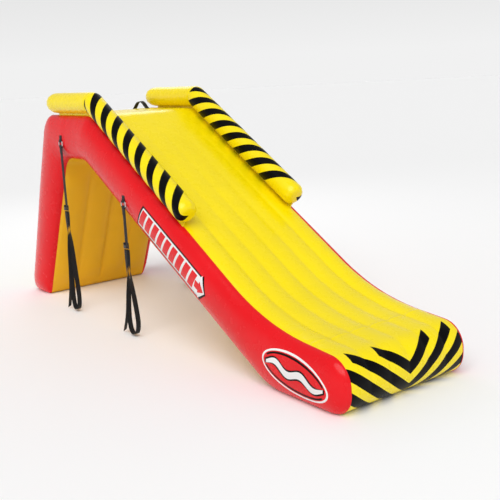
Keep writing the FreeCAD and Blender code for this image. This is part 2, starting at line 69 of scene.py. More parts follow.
# ---------------------------------------------------------------- driving dimensions
SEAM_Y = 0.440
WALL_ANGLE = math.radians(68.2)
SLIDE_ANGLE = math.radians(31)
PLATFORM = 1.5
BEND_X = 1.33
FALL = math.tan(SLIDE_ANGLE)
SLIDE_PITCH = 0.147
WALL_PITCH = 0.220
BULGE_SHARE = 0.232
BULGE_MOST = 0.079
RAIL_RADIUS = 0.075
RAIL_Y = 0.438
WEB_WIDTH = 0.038
WEB_THICK = 0.0022
SIDES = (("left", 1), ("right", -1))


def deck_z(x):
    return PLATFORM - FALL * (x - BEND_X)


# The side of the chamber, from the foot of the wall: (across, up, radius of the corner).
CORNERS = {
    "foot_rear": (0.0, 0.0, 0.06),
    "wall_top": (PLATFORM / math.tan(WALL_ANGLE), PLATFORM, 0.15),
    "deck_bend": (BEND_X, PLATFORM, 0.2),
    "runout": (3.23, deck_z(3.23), 1.5),
    "toe_top": (3.905, 0.3, 0.15),
    "toe_base": (3.905, 0.0, 0.13),
    "slab_heel": (3.265, 0.0, 0.4),
    "arch_front": (1.214, 1.18, 0.25),
    "arch_rear": (0.872, 1.18, 0.15),
    "foot_front": (0.318, 0.0, 0.06),
}
SEAM_FROM_CORNER = 0.115
TOE_SEAM = 0.15
POCKETS = {
    "foot_pocket_top": (-0.168, 1.224),
    "foot_pocket_upper": (0.022, 0.920),
    "foot_pocket_lower": (-0.237, 0.630),
    "foot_pocket_bottom": (-0.010, 0.334),
}
POCKET_WIDTH = 0.145
POCKET_HEIGHT = 0.085


# ---------------------------------------------------------------- the outline as a line of points

def unit(v):
    v = np.asarray(v, float)
    return v / np.maximum(np.linalg.norm(v, axis=-1, keepdims=True), 1e-12)


def trace(corners, step, closed=True):
    """Points about step apart round an outline, and the distances along it of the points and the corners."""
    corners = list(corners)
    points = np.array([c[:2] for c in corners], float)
    count = len(points)
    line, marks = [], []
    for i, corner in enumerate(corners):
        here = points[i]
        radius = corner[2] if len(corner) > 2 else 0
        if not radius or (not closed and i in (0, count - 1)):
            marks.append(len(line))
            line.append(here)
            continue
        back, ahead = unit(points[i - 1] - here), unit(points[(i + 1) % count] - here)
        half = math.acos(np.clip(back @ ahead, -1, 1)) / 2
        centre = here + unit(back + ahead) * radius / math.sin(half)
        reach = radius / math.tan(half)
        start, end = here + back * reach, here + ahead * reach
        sweep = math.pi - 2 * half
        pieces = max(4, math.ceil(radius * sweep / step))
        from_angle = math.atan2(*(start - centre)[::-1])
        turn = math.atan2(*(end - centre)[::-1]) - from_angle
        turn = (turn + math.pi) % (2 * math.pi) - math.pi
        arc = [centre + radius * np.array([math.cos(a), math.sin(a)])
               for a in from_angle + turn * np.linspace(0, 1, pieces + 1)]
        marks.append(len(line) + pieces // 2)
        line += arc
    if closed:
        line.append(line[0])
    line = np.array(line)
    along = np.concatenate([[0], np.cumsum(np.linalg.norm(np.diff(line, axis=0), axis=1))])
    return line, along, along[marks]


OUTLINE, OUTLINE_AT, CORNER_AT = trace(CORNERS.values(), 0.004)
AT = dict(zip(CORNERS, CORNER_AT))
TOTAL = OUTLINE_AT[-1]
low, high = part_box("side_panel_left")
SHIFT = (low[0] + high[0]) / 2 - (OUTLINE[:, 0].min() + OUTLINE[:, 0].max()) / 2


def outline_point(u):
    """Points of the outline at distances u along it, as (across, up)."""
    u = np.mod(u, TOTAL)
    return np.stack([np.interp(u, OUTLINE_AT, OUTLINE[:, k]) for k in (0, 1)], axis=-1)


def outline_normal(u, reach=0.006):
    """The outward direction there, as (across, up)."""
    way = unit(outline_point(u + reach) - outline_point(u - reach))
    return np.stack([-way[..., 1], way[..., 0]], axis=-1)


FINE_AT = np.linspace(0, TOTAL, 12000)
OUTLINE_FINE = outline_point(FINE_AT)


def where(start, end, distance):
    """How far along the outline a seam lies that is a distance from one corner towards another."""
    a, b = np.array(CORNERS[start][:2]), np.array(CORNERS[end][:2])
    place = a + unit(b - a) * distance
    return float(FINE_AT[np.argmin(np.linalg.norm(OUTLINE_FINE - place, axis=1))])


SEAMS = {
    "wall_foot": where("foot_rear", "wall_top", SEAM_FROM_CORNER),
    "wall_top": where("wall_top", "foot_rear", SEAM_FROM_CORNER),
    "deck_nose": where("toe_top", "runout", 2 * TOE_SEAM),
    "nose_base": where("toe_base", "slab_heel", TOE_SEAM),
    "base_heel": where("slab_heel", "toe_base", TOE_SEAM),
    "leg_foot": where("foot_front", "arch_rear", SEAM_FROM_CORNER),
}


def smooth(x, low_edge, high_edge):
    t = np.clip((np.asarray(x, float) - low_edge) / (high_edge - low_edge), 0, 1)
    return t * t * (3 - 2 * t)


def waves(x, y, seed, scale, octaves=3):
    """A smooth field of gentle lumps about scale across, from -1 to 1, the same every run."""
    r = np.random.default_rng(seed)
    total = 0
    for octave in range(octaves):
        size = scale / 1.9**octave
        for _ in range(4):
            angle, phase = r.uniform(0, 2 * math.pi, 2)
            k = 2 * math.pi / (size * r.uniform(0.8, 1.4))
            total = total + np.sin(k * (x * math.cos(angle) + y * math.sin(angle)) + phase) / (1.7**octave)
    return total / 7


# ---------------------------------------------------------------- how far the skin swells

def tunnel(y, pitch, power=0.8):
    """The swell between two baffles: 0 over each baffle's weld and 1 half-way between them."""
    t = np.mod(y / pitch, 1.0)
    return np.power(np.maximum(1 - (2 * t - 1) ** 2, 0), power)


def along_range(u, start, end, blend=0.25):
    """1 where u lies between two places on the outline, fading out past them."""
    return smooth(u, start - blend, start + blend) * (1 - smooth(u, end - blend, end + blend))


def swell(u, y):
    """How far the skin between the side panels stands out from the outline."""
    leg = tunnel(y, WALL_PITCH, 0.6)
    bed = tunnel(y, SLIDE_PITCH)
    edge = 1 + 0.5 * smooth(np.abs(y), 0.27, 0.33)
    wall_end, top_end = AT["wall_top"], AT["deck_bend"]
    on_wall = along_range(u, 0.2, wall_end - 0.25, 0.12)
    on_deck = along_range(u, wall_end + 0.2, top_end, 0.2)
    on_bed = along_range(u, top_end + 0.3, AT["toe_top"] - 0.12, 0.2)
    lower = smooth(u, top_end + 0.7, AT["runout"] - 0.3)
    on_slab = along_range(u, AT["slab_heel"] + 0.25, AT["arch_front"] - 0.15, 0.15)
    on_arch = along_range(u, AT["arch_front"], AT["arch_rear"], 0.1)
    on_leg = along_range(u, AT["arch_rear"] + 0.15, AT["foot_front"] - 0.12, 0.1)
    nose = along_range(u, AT["toe_top"] - 0.05, AT["toe_base"] - 0.1, 0.06)
    out = leg * (0.0035 * on_wall + 0.03 * on_leg) + bed * edge * on_bed * (0.003 + 0.0095 * lower)
    out = out + bed * (0.004 * on_deck + 0.0045 * on_slab + 0.007 * nose) + 0.008 * leg * on_arch
    ground = along_range(u, AT["toe_base"] - 0.02, AT["slab_heel"] + 0.05, 0.06)
    ground = ground + along_range(u, AT["foot_front"] - 0.03, TOTAL + 1, 0.04) + (1 - smooth(u, 0.0, 0.08))
    free = 1 - np.clip(ground, 0, 1)
    out = out + 0.0022 * free * (waves(u, y, 3, 0.55) + 0.5 * waves(u * 1.3, y, 4, 0.2))
    inward = SEAM_Y - np.abs(y)
    seams = np.exp(-inward / 0.035) * (1 - np.exp(-inward / 0.004))
    out = out + 0.0045 * free * seams * waves(u, 0 * y + np.sign(y), 11, 0.085, 4)
    for pitch, share in ((SLIDE_PITCH, on_bed * (0.2 + 0.8 * lower)), (WALL_PITCH, 1.5 * on_leg)):
        near = np.abs(np.mod(y / pitch + 0.5, 1) - 0.5) * pitch
        out = out + 0.0014 * share * np.exp(-near / 0.025) * waves(u, 0.1 * y, 17, 0.09, 3)
    return out * smooth(inward, -0.001, 0.012)


# ---------------------------------------------------------------- meshes

def grid_faces(rows, columns, flip=False):
    i, j = np.meshgrid(np.arange(rows - 1), np.arange(columns - 1), indexing="ij")
    a = (i * columns + j).ravel()
    quads = np.stack([a, a + 1, a + columns + 1, a + columns], axis=1)
    return (quads[:, ::-1] if flip else quads).tolist()


class Skin:
    """A mesh with values at its points, which can be cut along any line where a value changes sign."""

    def __init__(self, points, faces, **values):
        self.points = np.asarray(points, float).reshape(-1, 3)
        self.faces = [list(f) for f in faces]
        self.values = {k: np.asarray(v, float).ravel() for k, v in values.items()}

    def cut(self, field):
        """Splits the faces along field = 0, so that each face lies on one side of it."""
        side = np.asarray(field(**self.values), float)
        side = np.where(np.abs(side) < 1e-7, 1e-7, side)
        keys = list(self.values)
        points, values = [self.points], {k: [self.values[k]] for k in keys}
        count, made, faces = len(self.points), {}, []
        for face in self.faces:
            signs = side[face] > 0
            if signs.all() or not signs.any():
                faces.append(face)
                continue
            walk = []
            for a, b in zip(face, face[1:] + face[:1]):
                walk.append((a, side[a] > 0))
                if (side[a] > 0) != (side[b] > 0):
                    key = (min(a, b), max(a, b))
                    if key not in made:
                        t = side[key[0]] / (side[key[0]] - side[key[1]])
                        made[key] = count
                        count += 1
                        between = lambda v: (v[key[0]] * (1 - t) + v[key[1]] * t)[None]
                        points.append(between(self.points))
                        for k in keys:
                            values[k].append(between(self.values[k]))
                    walk.append((made[key], None))
            for want in (True, False):
                part = [p for p, s in walk if s is None or s == want]
                if len(part) >= 3:
                    faces.append(part)
        self.points = np.concatenate(points)
        self.values = {k: np.concatenate(values[k]) for k in keys}
        self.faces = faces
        return self

    def middles(self):
        return {k: np.array([v[f].mean() for f in self.faces]) for k, v in self.values.items()}

    def drop(self, field):
        """Leaves out the faces where field is above 0."""
        out = np.asarray(field(**self.middles())) > 0
        self.faces = [f for f, gone in zip(self.faces, out) if not gone]
        return self


def ring_faces(rings, count, closed=False):
    """The faces between rings of count points. A closed run joins its last ring to its first."""
    faces = []
    for i in range(rings if closed else rings - 1):
        here, ahead = i * count, (i + 1) % rings * count
        for j in range(count):
            k = (j + 1) % count
            faces.append([here + j, here + k, ahead + k, ahead + j])
    return faces


def end_face(ring, count):
    return list(range(ring * count, (ring + 1) * count))


def add_object(name, data):
    made = bpy.data.objects.new(name, data)
    bpy.context.collection.objects.link(made)
    return made


def mesh_object(name, points, faces, materials, index=None):
    """A smooth mesh. index has each face's material."""
    points = np.asarray(points, float).reshape(-1, 3)
    mesh = bpy.data.meshes.new(name)
    used = np.unique(np.concatenate([np.asarray(f) for f in faces]))
    renumber = np.full(len(points), -1)
    renumber[used] = np.arange(len(used))
    mesh.from_pydata(points[used].tolist(), [], [renumber[f].tolist() for f in faces])
    for material in materials:
        mesh.materials.append(material)
    if index is not None:
        mesh.polygons.foreach_set("material_index", np.asarray(index, int).tolist())
    mesh.polygons.foreach_set("use_smooth", [True] * len(mesh.polygons))
    mesh.update()
    return add_object(name, mesh)


def grid_object(name, points, materials, flip=False):
    """A smooth mesh over rows of points."""
    return mesh_object(name, points, grid_faces(*points.shape[:2], flip=flip), materials)


def place(piece, body, slot, *nodes):
    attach(piece, body)
    if nodes:
        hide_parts(*nodes)
    return piece


# ---------------------------------------------------------------- materials

def new_material(name):
    material = bpy.data.materials.new(name)
    material.use_nodes = True
    tree = material.node_tree
    return material, tree.nodes, tree.links, tree.nodes["Principled BSDF"]


def noise_into(nodes, links, scale, detail=4.0, rough=0.55):
    coordinates = nodes.new("ShaderNodeTexCoord")
    noise = nodes.new("ShaderNodeTexNoise")
    noise.inputs["Scale"].default_value = scale
    noise.inputs["Detail"].default_value = detail
    noise.inputs["Roughness"].default_value = rough
    links.new(coordinates.outputs["Object"], noise.inputs["Vector"])
    return noise.outputs["Fac"]


def colour_between(nodes, links, factor, shader, first, second):
    """Blends the base colour from the first colour to the second."""
    mix = nodes.new("ShaderNodeMix")
    mix.data_type = "RGBA"
    mix.inputs["A"].default_value = (*first, 1)
    mix.inputs["B"].default_value = (*second, 1)
    links.new(factor, mix.inputs["Factor"])
    links.new(mix.outputs["Result"], shader.inputs["Base Color"])


def spread_between(nodes, links, source, low_value, high_value, low_from=0.3, high_from=0.7):
    ranged = nodes.new("ShaderNodeMapRange")
    ranged.inputs["From Min"].default_value = low_from
    ranged.inputs["From Max"].default_value = high_from
    ranged.inputs["To Min"].default_value = low_value
    ranged.inputs["To Max"].default_value = high_value
    links.new(source, ranged.inputs["Value"])
    return ranged.outputs["Result"]


def bump_chain(nodes, links, shader, layers):
    """Adds bumps on top of each other: (height socket, strength, distance)."""
    last = None
    for height, strength, distance in layers:
        bump = nodes.new("ShaderNodeBump")
        bump.inputs["Strength"].default_value = strength
        bump.inputs["Distance"].default_value = distance
        links.new(height, bump.inputs["Height"])
        if last:
            links.new(last, bump.inputs["Normal"])
        last = bump.outputs["Normal"]
    links.new(last, shader.inputs["Normal"])


def pvc(name, colour, roughness=0.24, deeper=0.9, shine=0.3):
    """Coated PVC sheet: a glossy face over a faint woven scrim, a little uneven in colour and gloss."""
    material, nodes, links, shader = new_material(name)
    broad = spread_between(nodes, links, noise_into(nodes, links, 2.2, 3), 0, 1)
    colour_between(nodes, links, broad, shader, [c * deeper for c in colour], colour)
    cloudy = noise_into(nodes, links, 14, 5)
    gloss = spread_between(nodes, links, cloudy, roughness - 0.05, roughness + 0.09)
    links.new(gloss, shader.inputs["Roughness"])
    shader.inputs["Specular IOR Level"].default_value = shine
    shader.inputs["Coat Weight"].default_value = shine * 0.2
    shader.inputs["Coat Roughness"].default_value = 0.12
    creases = noise_into(nodes, links, 6, 4, 0.5)
    scrim = noise_into(nodes, links, 420, 2, 0.5)
    bump_chain(nodes, links, shader, [(creases, 0.05, 0.012), (scrim, 0.06, 0.0005)])
    return material


def webbing(name, colour=(0.006, 0.006, 0.007)):
    """Woven polyester webbing: fine ribs across and a soft sheen."""
    material, nodes, links, shader = new_material(name)
    colour_between(nodes, links, noise_into(nodes, links, 60, 3), shader, colour, [c * 2.3 for c in colour])
    shader.inputs["Roughness"].default_value = 0.72
    shader.inputs["Sheen Weight"].default_value = 0.08
    shader.inputs["Specular IOR Level"].default_value = 0.2
    coordinates = nodes.new("ShaderNodeTexCoord")
    ribs = nodes.new("ShaderNodeTexWave")
    ribs.bands_direction = "Z"
    ribs.inputs["Scale"].default_value = 180
    ribs.inputs["Distortion"].default_value = 1.5
    links.new(coordinates.outputs["Object"], ribs.inputs["Vector"])
    grain = noise_into(nodes, links, 900, 2)
    bump_chain(nodes, links, shader, [(ribs.outputs["Fac"], 0.5, 0.0008), (grain, 0.3, 0.0004)])
    return material


def moulded(name, colour, roughness, metallic=0.0):
    """Moulded plastic, or drawn wire when metallic."""
    material, nodes, links, shader = new_material(name)
    shader.inputs["Base Color"].default_value = (*colour, 1)
    shader.inputs["Metallic"].default_value = metallic
    grain = noise_into(nodes, links, 300, 4)
    gloss = spread_between(nodes, links, grain, roughness - 0.06, roughness + 0.08)
    links.new(gloss, shader.inputs["Roughness"])
    bump_chain(nodes, links, shader, [(grain, 0.12, 0.0005)])
    return material


YELLOW = pvc("pvc_yellow", (0.93, 0.74, 0.001), 0.26, 0.95)
# Painted shade: the same yellow PVC, made deeper and more orange to stand in for the warm shade that falls
# under the slide.
SHADE_PAINTED_YELLOW = pvc("pvc_yellow_painted_shade", (0.86, 0.47, 0.012), 0.34, 0.9, 0.2)
RED = pvc("pvc_red", (0.76, 0.006, 0.011), 0.22, 0.92, 0.22)
BLACK_PRINT = pvc("print_black", (0.0025, 0.0025, 0.003), 0.3, 0.9, 0.07)
WHITE_PRINT = pvc("print_white", (0.85, 0.85, 0.84), 0.3)
WEBBING = webbing("webbing_black")
THREAD = moulded("thread_black", (0.05, 0.05, 0.055), 0.8)
STEEL = moulded("steel_wire", (0.62, 0.62, 0.64), 0.24, 1.0)
BUCKLE = moulded("acetal_black", (0.02, 0.02, 0.022), 0.42)
VALVE = moulded("valve_black", (0.03, 0.03, 0.033), 0.45)
RUBBER = moulded("valve_rubber_flap", (0.05, 0.05, 0.05), 0.7)


# ---------------------------------------------------------------- camera, floor and lights

def add_camera():
    """Eye level before the toe's right corner, looking up the slide."""
    yaw, pitch, roll = (math.radians(a) for a in (142.81, -12.15, 2.83))
    ahead = Vector((math.cos(pitch) * math.cos(yaw), math.cos(pitch) * math.sin(yaw), math.sin(pitch)))
    right = Vector((math.sin(yaw), -math.cos(yaw), 0))
    down = ahead.cross(right)
    across = right * math.cos(roll) + down * math.sin(roll)
    below = down * math.cos(roll) - right * math.sin(roll)
    data = bpy.data.cameras.new("camera")
    data.sensor_width = 36
    data.lens = 59.2
    data.clip_end = 100
    eye = add_object("camera", data)
    turn = Matrix((across, -below, -ahead)).transposed().to_4x4()
    eye.matrix_world = Matrix.Translation((4.747, -3.167, 1.745)) @ turn
    bpy.context.scene.camera = eye


def add_light(name, kind, energy, location, target):
    data = bpy.data.lights.new(name, kind)
    data.energy = energy
    lamp = add_object(name, data)
    lamp.location = location
    lamp.rotation_euler = (Vector(target) - Vector(location)).to_track_quat("-Z", "Y").to_euler()
    return data


# Chosen so that the floor far away is as bright as the wall of light behind it.
WORLD_LOW, WORLD_HIGH = 0.88, 0.46
SUN_STRENGTH = 1.85
FLOOR_REACH = 200


def add_stage():
    """A pale floor, and soft light from all round with a broad key light from one side."""
    corners = [(x * FLOOR_REACH, y * FLOOR_REACH, 0) for x, y in ((-1, -1), (1, -1), (1, 1), (-1, 1))]
    mesh = bpy.data.meshes.new("floor")
    mesh.from_pydata(corners, [], [(0, 1, 2, 3)])
    material, nodes, links, shader = new_material("floor_pale")
    grain = noise_into(nodes, links, 3, 3)
    links.new(spread_between(nodes, links, grain, 0.78, 0.86), shader.inputs["Roughness"])
    shader.inputs["Base Color"].default_value = (0.95, 0.95, 0.95, 1)
    shader.inputs["Specular IOR Level"].default_value = 0.05
    mesh.materials.append(material)
    add_object("floor", mesh)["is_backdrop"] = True

    world = bpy.data.worlds.new("studio")
    bpy.context.scene.world = world
    world.use_nodes = True
    nodes, links = world.node_tree.nodes, world.node_tree.links
    coordinates = nodes.new("ShaderNodeTexCoord")
    parts = nodes.new("ShaderNodeSeparateXYZ")
    links.new(coordinates.outputs["Generated"], parts.inputs["Vector"])
    strength = spread_between(nodes, links, parts.outputs["Z"], WORLD_LOW, WORLD_HIGH, 0.02, 0.42)
    nodes["Background"].inputs["Color"].default_value = (1, 1, 1, 1)
    links.new(strength, nodes["Background"].inputs["Strength"])
    add_light("key", "SUN", SUN_STRENGTH, (3.4, -4.2, 6.6), (0, 0, 0)).angle = 0.85
    for name, energy, location, target in (("soft_front", 20, (5.4, -2.2, 3.6), (0.6, 0, 0.5)),
                                           ("soft_back", 40, (-5.0, 2.4, 4.4), (-0.6, 0, 0.8))):
        lamp = add_light(name, "AREA", energy, location, target)
        lamp.shape = "DISK"
        lamp.size = 3.0


# ---------------------------------------------------------------- the sheets between the side panels

def body_point(u, y, lift=0.0):
    """A point of the swollen skin, and lift beyond it."""
    u, y = np.broadcast_arrays(np.asarray(u, float), np.asarray(y, float))
    flat = outline_point(u) + outline_normal(u) * (body_swell(u, y) + lift)[..., None]
    return np.stack([flat[..., 0] + SHIFT, y, np.maximum(flat[..., 1], 0.0)], axis=-1)


# The arch over a foot pocket's flat floor: how far up its centre is, and its radius.
HALF_MOON_RISE = (POCKET_HEIGHT**2 - (POCKET_WIDTH / 2) ** 2) / (2 * POCKET_HEIGHT)
HALF_MOON = POCKET_HEIGHT - HALF_MOON_RISE
FAR_AWAY = 9.0


def pocket_distance(u, y):
    """How far a place on the wall is outside the nearest foot pocket's mouth."""
    nearest = np.full(np.shape(u), FAR_AWAY)
    for across, up in POCKETS.values():
        centre = up + HALF_MOON_RISE
        nearest = np.minimum(nearest, np.hypot(y - across, wall_height(u) - centre) - HALF_MOON)
    return nearest


def wall_height(u):
    """How far up the wall's own line a place on the outline is, from the corner of the foot."""
    point = outline_point(u)
    return point[..., 0] * math.cos(WALL_ANGLE) + point[..., 1] * math.sin(WALL_ANGLE)


def body_swell(u, y):
    """The skin's swell, flat and puckered round the foot pockets."""
    out = swell(u, y)
    on_wall = (u > AT["foot_rear"]) & (u < AT["wall_top"])
    away = np.where(on_wall, pocket_distance(u, y), FAR_AWAY)
    pucker = 0.0016 * np.exp(-np.abs(away - 0.018) / 0.016) * waves(u * 1.7, y * 1.7, 23, 0.06, 2)
    return out * smooth(away, -0.004, 0.075) + pucker * smooth(away, 0.004, 0.02)


def across_rows(step):
    """Places across the slide, closer together near the side seams."""
    count = 2 * math.ceil(SEAM_Y / step) + 1
    t = np.linspace(-1, 1, count)
    return SEAM_Y * (0.55 * t + 0.45 * np.sin(t * math.pi / 2))


def panel_skin(first, last, step=0.0115):
    """The skin from one seam to another, in rows about step apart."""
    start, end = SEAMS[first], SEAMS[last]
    end = end if end > start else end + TOTAL
    rows = np.linspace(start, end, max(3, math.ceil((end - start) / step) + 1))
    u, y = np.meshgrid(rows, across_rows(0.0105), indexing="ij")
    return Skin(body_point(u, y), grid_faces(*u.shape), u=u, y=y)


CHEVRON_PITCH = 0.128
CHEVRON_LEAN = 0.75
CHEVRON_SHARE = 0.56
CHEVRON_FIRST = AT["toe_top"] + 0.108
# How far from the middle each bar reaches, from the first.
CHEVRON_REACH = (0.2, 0.385, 1.0, 1.0)
CHEVRON_START = AT["toe_top"] - 0.4
VALVE_X = 1.05
VALVE_HOLE = 0.0245


def chevron_place(u, y):
    return (u + CHEVRON_LEAN * np.abs(y) - CHEVRON_FIRST) / CHEVRON_PITCH


def chevron_line(u, y):
    return np.cos(2 * math.pi * chevron_place(u, y)) - math.cos(math.pi * CHEVRON_SHARE)


def chevron_index(u, y):
    """1 in the printed black bars at the toe and 0 elsewhere."""
    turn = np.round(chevron_place(u, y)).astype(int)
    last = len(CHEVRON_REACH) - 1
    printed = (chevron_line(u, y) > 0) & (turn >= 0) & (turn <= last) & (u < SEAMS["nose_base"])
    reach = np.array(CHEVRON_REACH)[np.clip(turn, 0, last)]
    return (printed & (np.abs(y) < reach)).astype(int)


def sheets():
    """The welded sheets, each swollen between the baffles behind it."""
    printed = {"deck_panel": ("wall_top", "deck_nose"), "nose_panel": ("deck_nose", "nose_base")}
    for name, (start, end) in printed.items():
        skin = panel_skin(start, end)
        skin.cut(lambda u, y: np.where(u > CHEVRON_START, chevron_line(u, y), -1.0))
        for reach in CHEVRON_REACH[:2]:
            skin.cut(lambda u, y: np.where(u > CHEVRON_START, np.abs(y) - reach, -1.0))
        index = chevron_index(**skin.middles())
        piece = mesh_object(name + "_skin", skin.points, skin.faces, [YELLOW, BLACK_PRINT], index)
        finish_sheet(piece, "yellow_pvc", name)
    plain = {
        "toe_base_panel": ("nose_base", "base_heel"),
        "underside_panel": ("base_heel", "leg_foot"),
        "foot_base_panel": ("leg_foot", "wall_foot"),
    }
    for name, (start, end) in plain.items():
        skin = panel_skin(start, end, 0.013)
        if name == "underside_panel":
            hole = lambda u, y: VALVE_HOLE - np.hypot(outline_point(u)[..., 0] - VALVE_X, y)
            skin.cut(hole).drop(hole)
        # The underside sheets take the yellow with painted shade, for the warm shade under the slide, the
        # arch and the leg.
        piece = mesh_object(name + "_skin", skin.points, skin.faces, [SHADE_PAINTED_YELLOW])
        finish_sheet(piece, "yellow_pvc", name)
    climbing_wall()


def finish_sheet(piece, slot, *nodes):
    place(piece, "root", slot, *nodes)


def moon_line(across, up, grow=0.0, count=40):
    """A foot pocket's outline as (across, up the wall), from one end of its floor round to it again."""
    radius = HALF_MOON + grow
    centre = up + HALF_MOON_RISE
    reach = math.sqrt(radius**2 - (HALF_MOON_RISE + grow) ** 2)
    low = math.atan2(-(HALF_MOON_RISE + grow), reach)
    angles = np.linspace(low, math.pi - low, count)
    arc = np.stack([across + radius * np.cos(angles), centre + radius * np.sin(angles)], axis=1)
    floor = np.linspace(arc[-1], arc[0], count // 2 + 1)[1:-1]
    return np.concatenate([arc, floor])


def wall_place(across, up, out=0.0):
    """A point in the row frame from the wall's own frame. Across is Y, and out is away from the slide."""
    across, up, out = np.broadcast_arrays(*(np.asarray(v, float) for v in (across, up, out)))
    x = up * math.cos(WALL_ANGLE) - out * math.sin(WALL_ANGLE)
    z = up * math.sin(WALL_ANGLE) + out * math.cos(WALL_ANGLE)
    return np.stack([x + SHIFT, across, z], axis=-1)


def climbing_wall():
    skin = panel_skin("wall_foot", "wall_top")
    for name, (across, up) in POCKETS.items():
        centre = up + HALF_MOON_RISE
        round_part = lambda u, y: HALF_MOON - np.hypot(y - across, wall_height(u) - centre)
        skin.cut(round_part)
        inside = lambda u, y: np.where(round_part(u, y) > -0.02, wall_height(u) - up, 1.0)
        skin.cut(inside)
        skin.drop(lambda u, y: np.minimum(round_part(u, y), wall_height(u) - up))
        foot_pocket(name, across, up)
    piece = mesh_object("climbing_wall_skin", skin.points, skin.faces, [YELLOW])
    finish_sheet(piece, "yellow_pvc", "climbing_panel")


def foot_pocket(name, across, up):
    """A blind cup with a thick welded lip: rings from the lip, in over the edge and down to the back."""
    rings = []
    lip = [(0.0095, 0.0004), (0.009, 0.0028), (0.0068, 0.0046), (0.0035, 0.0052), (0.0006, 0.0042),
           (-0.0012, 0.0012)]
    for grow, out in lip:
        rings.append(wall_place(*moon_line(across, up, grow).T, out))
    depth = np.array([0.004, 0.012, 0.024, 0.038, 0.052, 0.064, 0.074, 0.081, 0.0855])
    taper = np.array([-0.0016, -0.002, -0.003, -0.0042, -0.0056, -0.0075, -0.0105, -0.0155, -0.024])
    for back, grow in zip(depth, taper):
        line = moon_line(across, up, grow)
        wobble = 0.0009 * waves(line[:, 0] * 3, back * 9 + line[:, 1] * 2, 31, 0.16, 2)
        rings.append(wall_place(line[:, 0], line[:, 1], -back - wobble))
    centre = rings[-1].mean(axis=0)
    for share in (0.72, 0.4, 0.12):
        rings.append(centre + (rings[-1] - centre) * share)
    place(cup(name + "_cup", rings), "root", "red_pvc", name)


def cup(name, rings):
    """A red piece over rings of points, shut at the last."""
    count = len(rings[0])
    faces = ring_faces(len(rings), count) + [end_face(len(rings) - 1, count)]
    return mesh_object(name, np.concatenate(rings), faces, [RED])


# ---------------------------------------------------------------- the side panels

# The steps along the leg, the platform, the bed and the toe.
SIDE_STEPS = (140, 60, 190, 62)


def chain(*names):
    """Places along the outline through some corners, each stretch with its own number of steps."""
    stops = [AT[n] for n in names]
    runs = [np.linspace(a, b, n, endpoint=False) for a, b, n in zip(stops, stops[1:], SIDE_STEPS)]
    return np.append(np.concatenate(runs), stops[-1])


def side_grid():
    """A flat side panel in rows round the slide from its foot to its toe, and 0 to 1 across it."""
    outer_u = chain("foot_rear", "wall_top", "deck_bend", "runout", "toe_top")
    inner_u = chain("foot_front", "arch_rear", "arch_front", "slab_heel", "toe_base")
    share = np.linspace(0, 1, len(outer_u))
    across = 0.5 - 0.5 * np.cos(np.linspace(0, 1, 57) * math.pi)
    outer, inner = outline_point(outer_u), outline_point(inner_u)
    last = AT["foot_rear"] + TOTAL
    foot_u = last - (last - AT["foot_front"]) * across
    toe_u = AT["toe_top"] + (AT["toe_base"] - AT["toe_top"]) * across
    foot, toe = outline_point(foot_u), outline_point(toe_u)
    s = across[None, :, None]
    t = share[:, None, None]
    sheet = (1 - s) * outer[:, None] + s * inner[:, None] + (1 - t) * foot[None] + t * toe[None]
    sheet -= (1 - t) * ((1 - s) * outer[0] + s * inner[0]) + t * ((1 - s) * outer[-1] + s * inner[-1])
    return sheet, outer_u, inner_u, across


def side_height(sheet, outer_u, inner_u, across, side):
    """How far the side panel stands out from its seam, with its folds."""
    width = np.linalg.norm(sheet[:, 0] - sheet[:, -1], axis=1)
    steps = np.linalg.norm(np.diff(sheet.mean(axis=1), axis=0), axis=1)
    along = np.concatenate([[0], np.cumsum(steps)])
    most = np.minimum(BULGE_SHARE * width, BULGE_MOST)[:, None]
    s = 2 * across - 1
    profile = (1 - s**2)[None, :]
    from_end = np.minimum(along, along[-1] - along)[:, None]
    reach = np.where(along < along[-1] / 2, 0.16, 0.15)[:, None]
    end = 1 - np.clip(1 - from_end / reach, 0, 1) ** 2
    height = most * (profile * end) ** 0.52
    from_outer = across[None, :] * width[:, None]
    from_inner = (1 - across)[None, :] * width[:, None]
    folds = np.zeros_like(height)
    outer_u, inner_u = outer_u[:, None], inner_u[:, None]
    places = [
        (outer_u, from_outer, AT["wall_top"], 0.13, 0.034, 0.0036, 0.075),
        (outer_u, from_outer, AT["deck_bend"], 0.2, 0.052, 0.0016, 0.06),
        (inner_u, from_inner, AT["arch_rear"], 0.16, 0.041, 0.0042, 0.085),
        (inner_u, from_inner, AT["arch_front"], 0.2, 0.047, 0.0036, 0.08),
        (inner_u, from_inner, AT["slab_heel"], 0.34, 0.062, 0.0026, 0.06),
        (outer_u, from_outer, AT["runout"], 0.5, 0.07, 0.0022, 0.06),
        (outer_u, from_outer, AT["toe_top"], 0.14, 0.04, 0.0022, 0.05),
    ]
    for i, (u, inward, middle, half, wave, deep, reach) in enumerate(places):
        window = np.exp(-((u - middle) / half) ** 2)
        swing = np.sin(2 * math.pi * (u - middle) / wave + 2.2 * waves(u, inward + side, 41 + i, 0.13, 2))
        fade = np.exp(-inward / reach) * (1 - np.exp(-inward / 0.012))
        folds -= deep * window * (0.55 + 0.45 * swing) * fade
    for i, (u, inward) in enumerate(((outer_u, from_outer), (inner_u, from_inner))):
        ripple = waves(u, inward * 0.4 + side, 51 + i, 0.1, 4)
        folds += 0.0026 * ripple * np.exp(-inward / 0.045) * (1 - np.exp(-inward / 0.01))
    folds += 0.0016 * waves(sheet[..., 0], sheet[..., 1] + side, 61, 0.4, 3)
    return height + folds * np.clip(profile * end * 4, 0, 1)


# The side panels' faces, by side, for setting marks and patches on.
PANEL_TREES = {}


